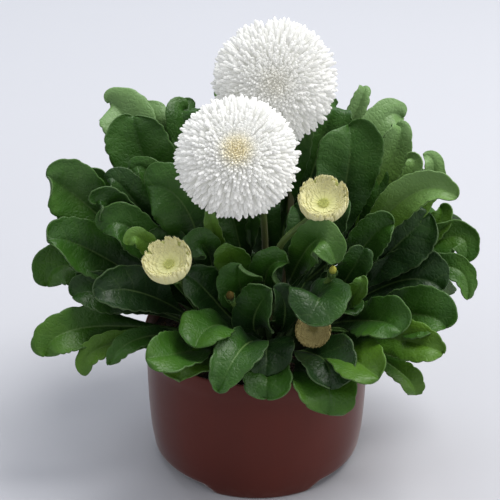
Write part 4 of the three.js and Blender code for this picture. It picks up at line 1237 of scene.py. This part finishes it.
# %% The studio
def backdrop_surface():
    """A flat floor that bends up into a wall well behind the plant, worked out in metres."""
    bend, turn = 0.6, np.linspace(0, np.pi / 2, 10)
    y = np.array([-3.0, -1.0, 0.0, 1.2, *(1.6 + bend * np.sin(turn)), 2.2])
    z = np.array([0, 0, 0, 0, *(bend - bend * np.cos(turn)), 2.6])
    x = np.linspace(-2.6, 2.6, 3)
    return np.stack(np.broadcast_arrays(x, y[:, None], z[:, None]), -1) / MM


def backdrop_finish():
    """Matt pale paper with hardly any grain, and painted shade that makes the floor a little darker towards
    the camera.
    """
    finish = Finish("backdrop_paper", 0.9, Specular_IOR_Level=0.2)
    # Painted shade: the paper darkens a little towards the front, near the camera.
    paper = finish.blend((finish.axis("Y") + 0.45).step(0.0, 1.2), paint(180, 180, 185), paint(187, 188, 193))
    finish.colour(finish.blend(finish.noise(6.0, 2.0) * 0.3, paper, paint(192, 193, 198)))
    return finish.material


backdrop_skin = Skin()
backdrop_points = backdrop_surface()
backdrop_skin.add(backdrop_points, grid_faces(*backdrop_points.shape[:2]))
backdrop = bpy.data.objects.new("backdrop", backdrop_skin.mesh("backdrop"))
bpy.context.scene.collection.objects.link(backdrop)
backdrop.data.materials.append(backdrop_finish())


def soft_light(name, place, target, size, power, tint):
    """A square area light at a place, turned to look at a target."""
    lamp = bpy.data.lights.new(name, "AREA")
    lamp.size, lamp.energy, lamp.color = size, power, tint
    lamp_object = bpy.data.objects.new(name, lamp)
    bpy.context.scene.collection.objects.link(lamp_object)
    away = np.array(place, float) - np.array(target, float)
    flat = math.hypot(away[0], away[1])
    lamp_object.location = place
    lamp_object.rotation_euler = (math.atan2(flat, away[2]), 0, math.atan2(away[1], away[0]) + math.pi / 2)


# name, place, target, size, power in watts, tint
LIGHTS = [("key_right", (0.6, 0.1, 1.55), (0, 0, 0.1), 0.9, 27, (1.0, 0.99, 0.97)),
          ("fill_left", (-1.2, -0.5, 1.0), (0, 0, 0.1), 1.0, 4.5, (0.96, 0.98, 1.0)),
          ("front_low", (0.4, -1.5, 0.5), (0, 0, 0.12), 1.0, 1.6, (1.0, 0.99, 0.97)),
          ("side_right", (1.3, -0.5, 0.5), (0, 0, 0.06), 0.7, 5.0, (1.0, 0.99, 0.98)),
          ("sky_back", (-0.3, 1.0, 1.4), (0, 0, 0.12), 1.0, 12, (0.88, 0.94, 1.0))]
for light in LIGHTS:
    soft_light(*light)
world = bpy.data.worlds.new("studio")
bpy.context.scene.world = world
world.use_nodes = True
world.node_tree.nodes["Background"].inputs[0].default_value = (0.92, 0.93, 1.0, 1)
world.node_tree.nodes["Background"].inputs[1].default_value = 0.42
bpy.context.scene.view_settings.view_transform = "Standard"

# %% The camera
DOWNWARD = math.radians(28.3)
camera = bpy.data.cameras.new("camera")
camera.lens, camera.sensor_width = 113.1, 36
camera.clip_start, camera.clip_end = 0.05, 20
camera_object = bpy.data.objects.new("camera", camera)
bpy.context.scene.collection.objects.link(camera_object)
camera_object.location = (-0.0033, -0.6429, 0.4523)
camera_object.rotation_euler = (math.pi / 2 - DOWNWARD, 0, 0)
bpy.context.scene.camera = camera_object
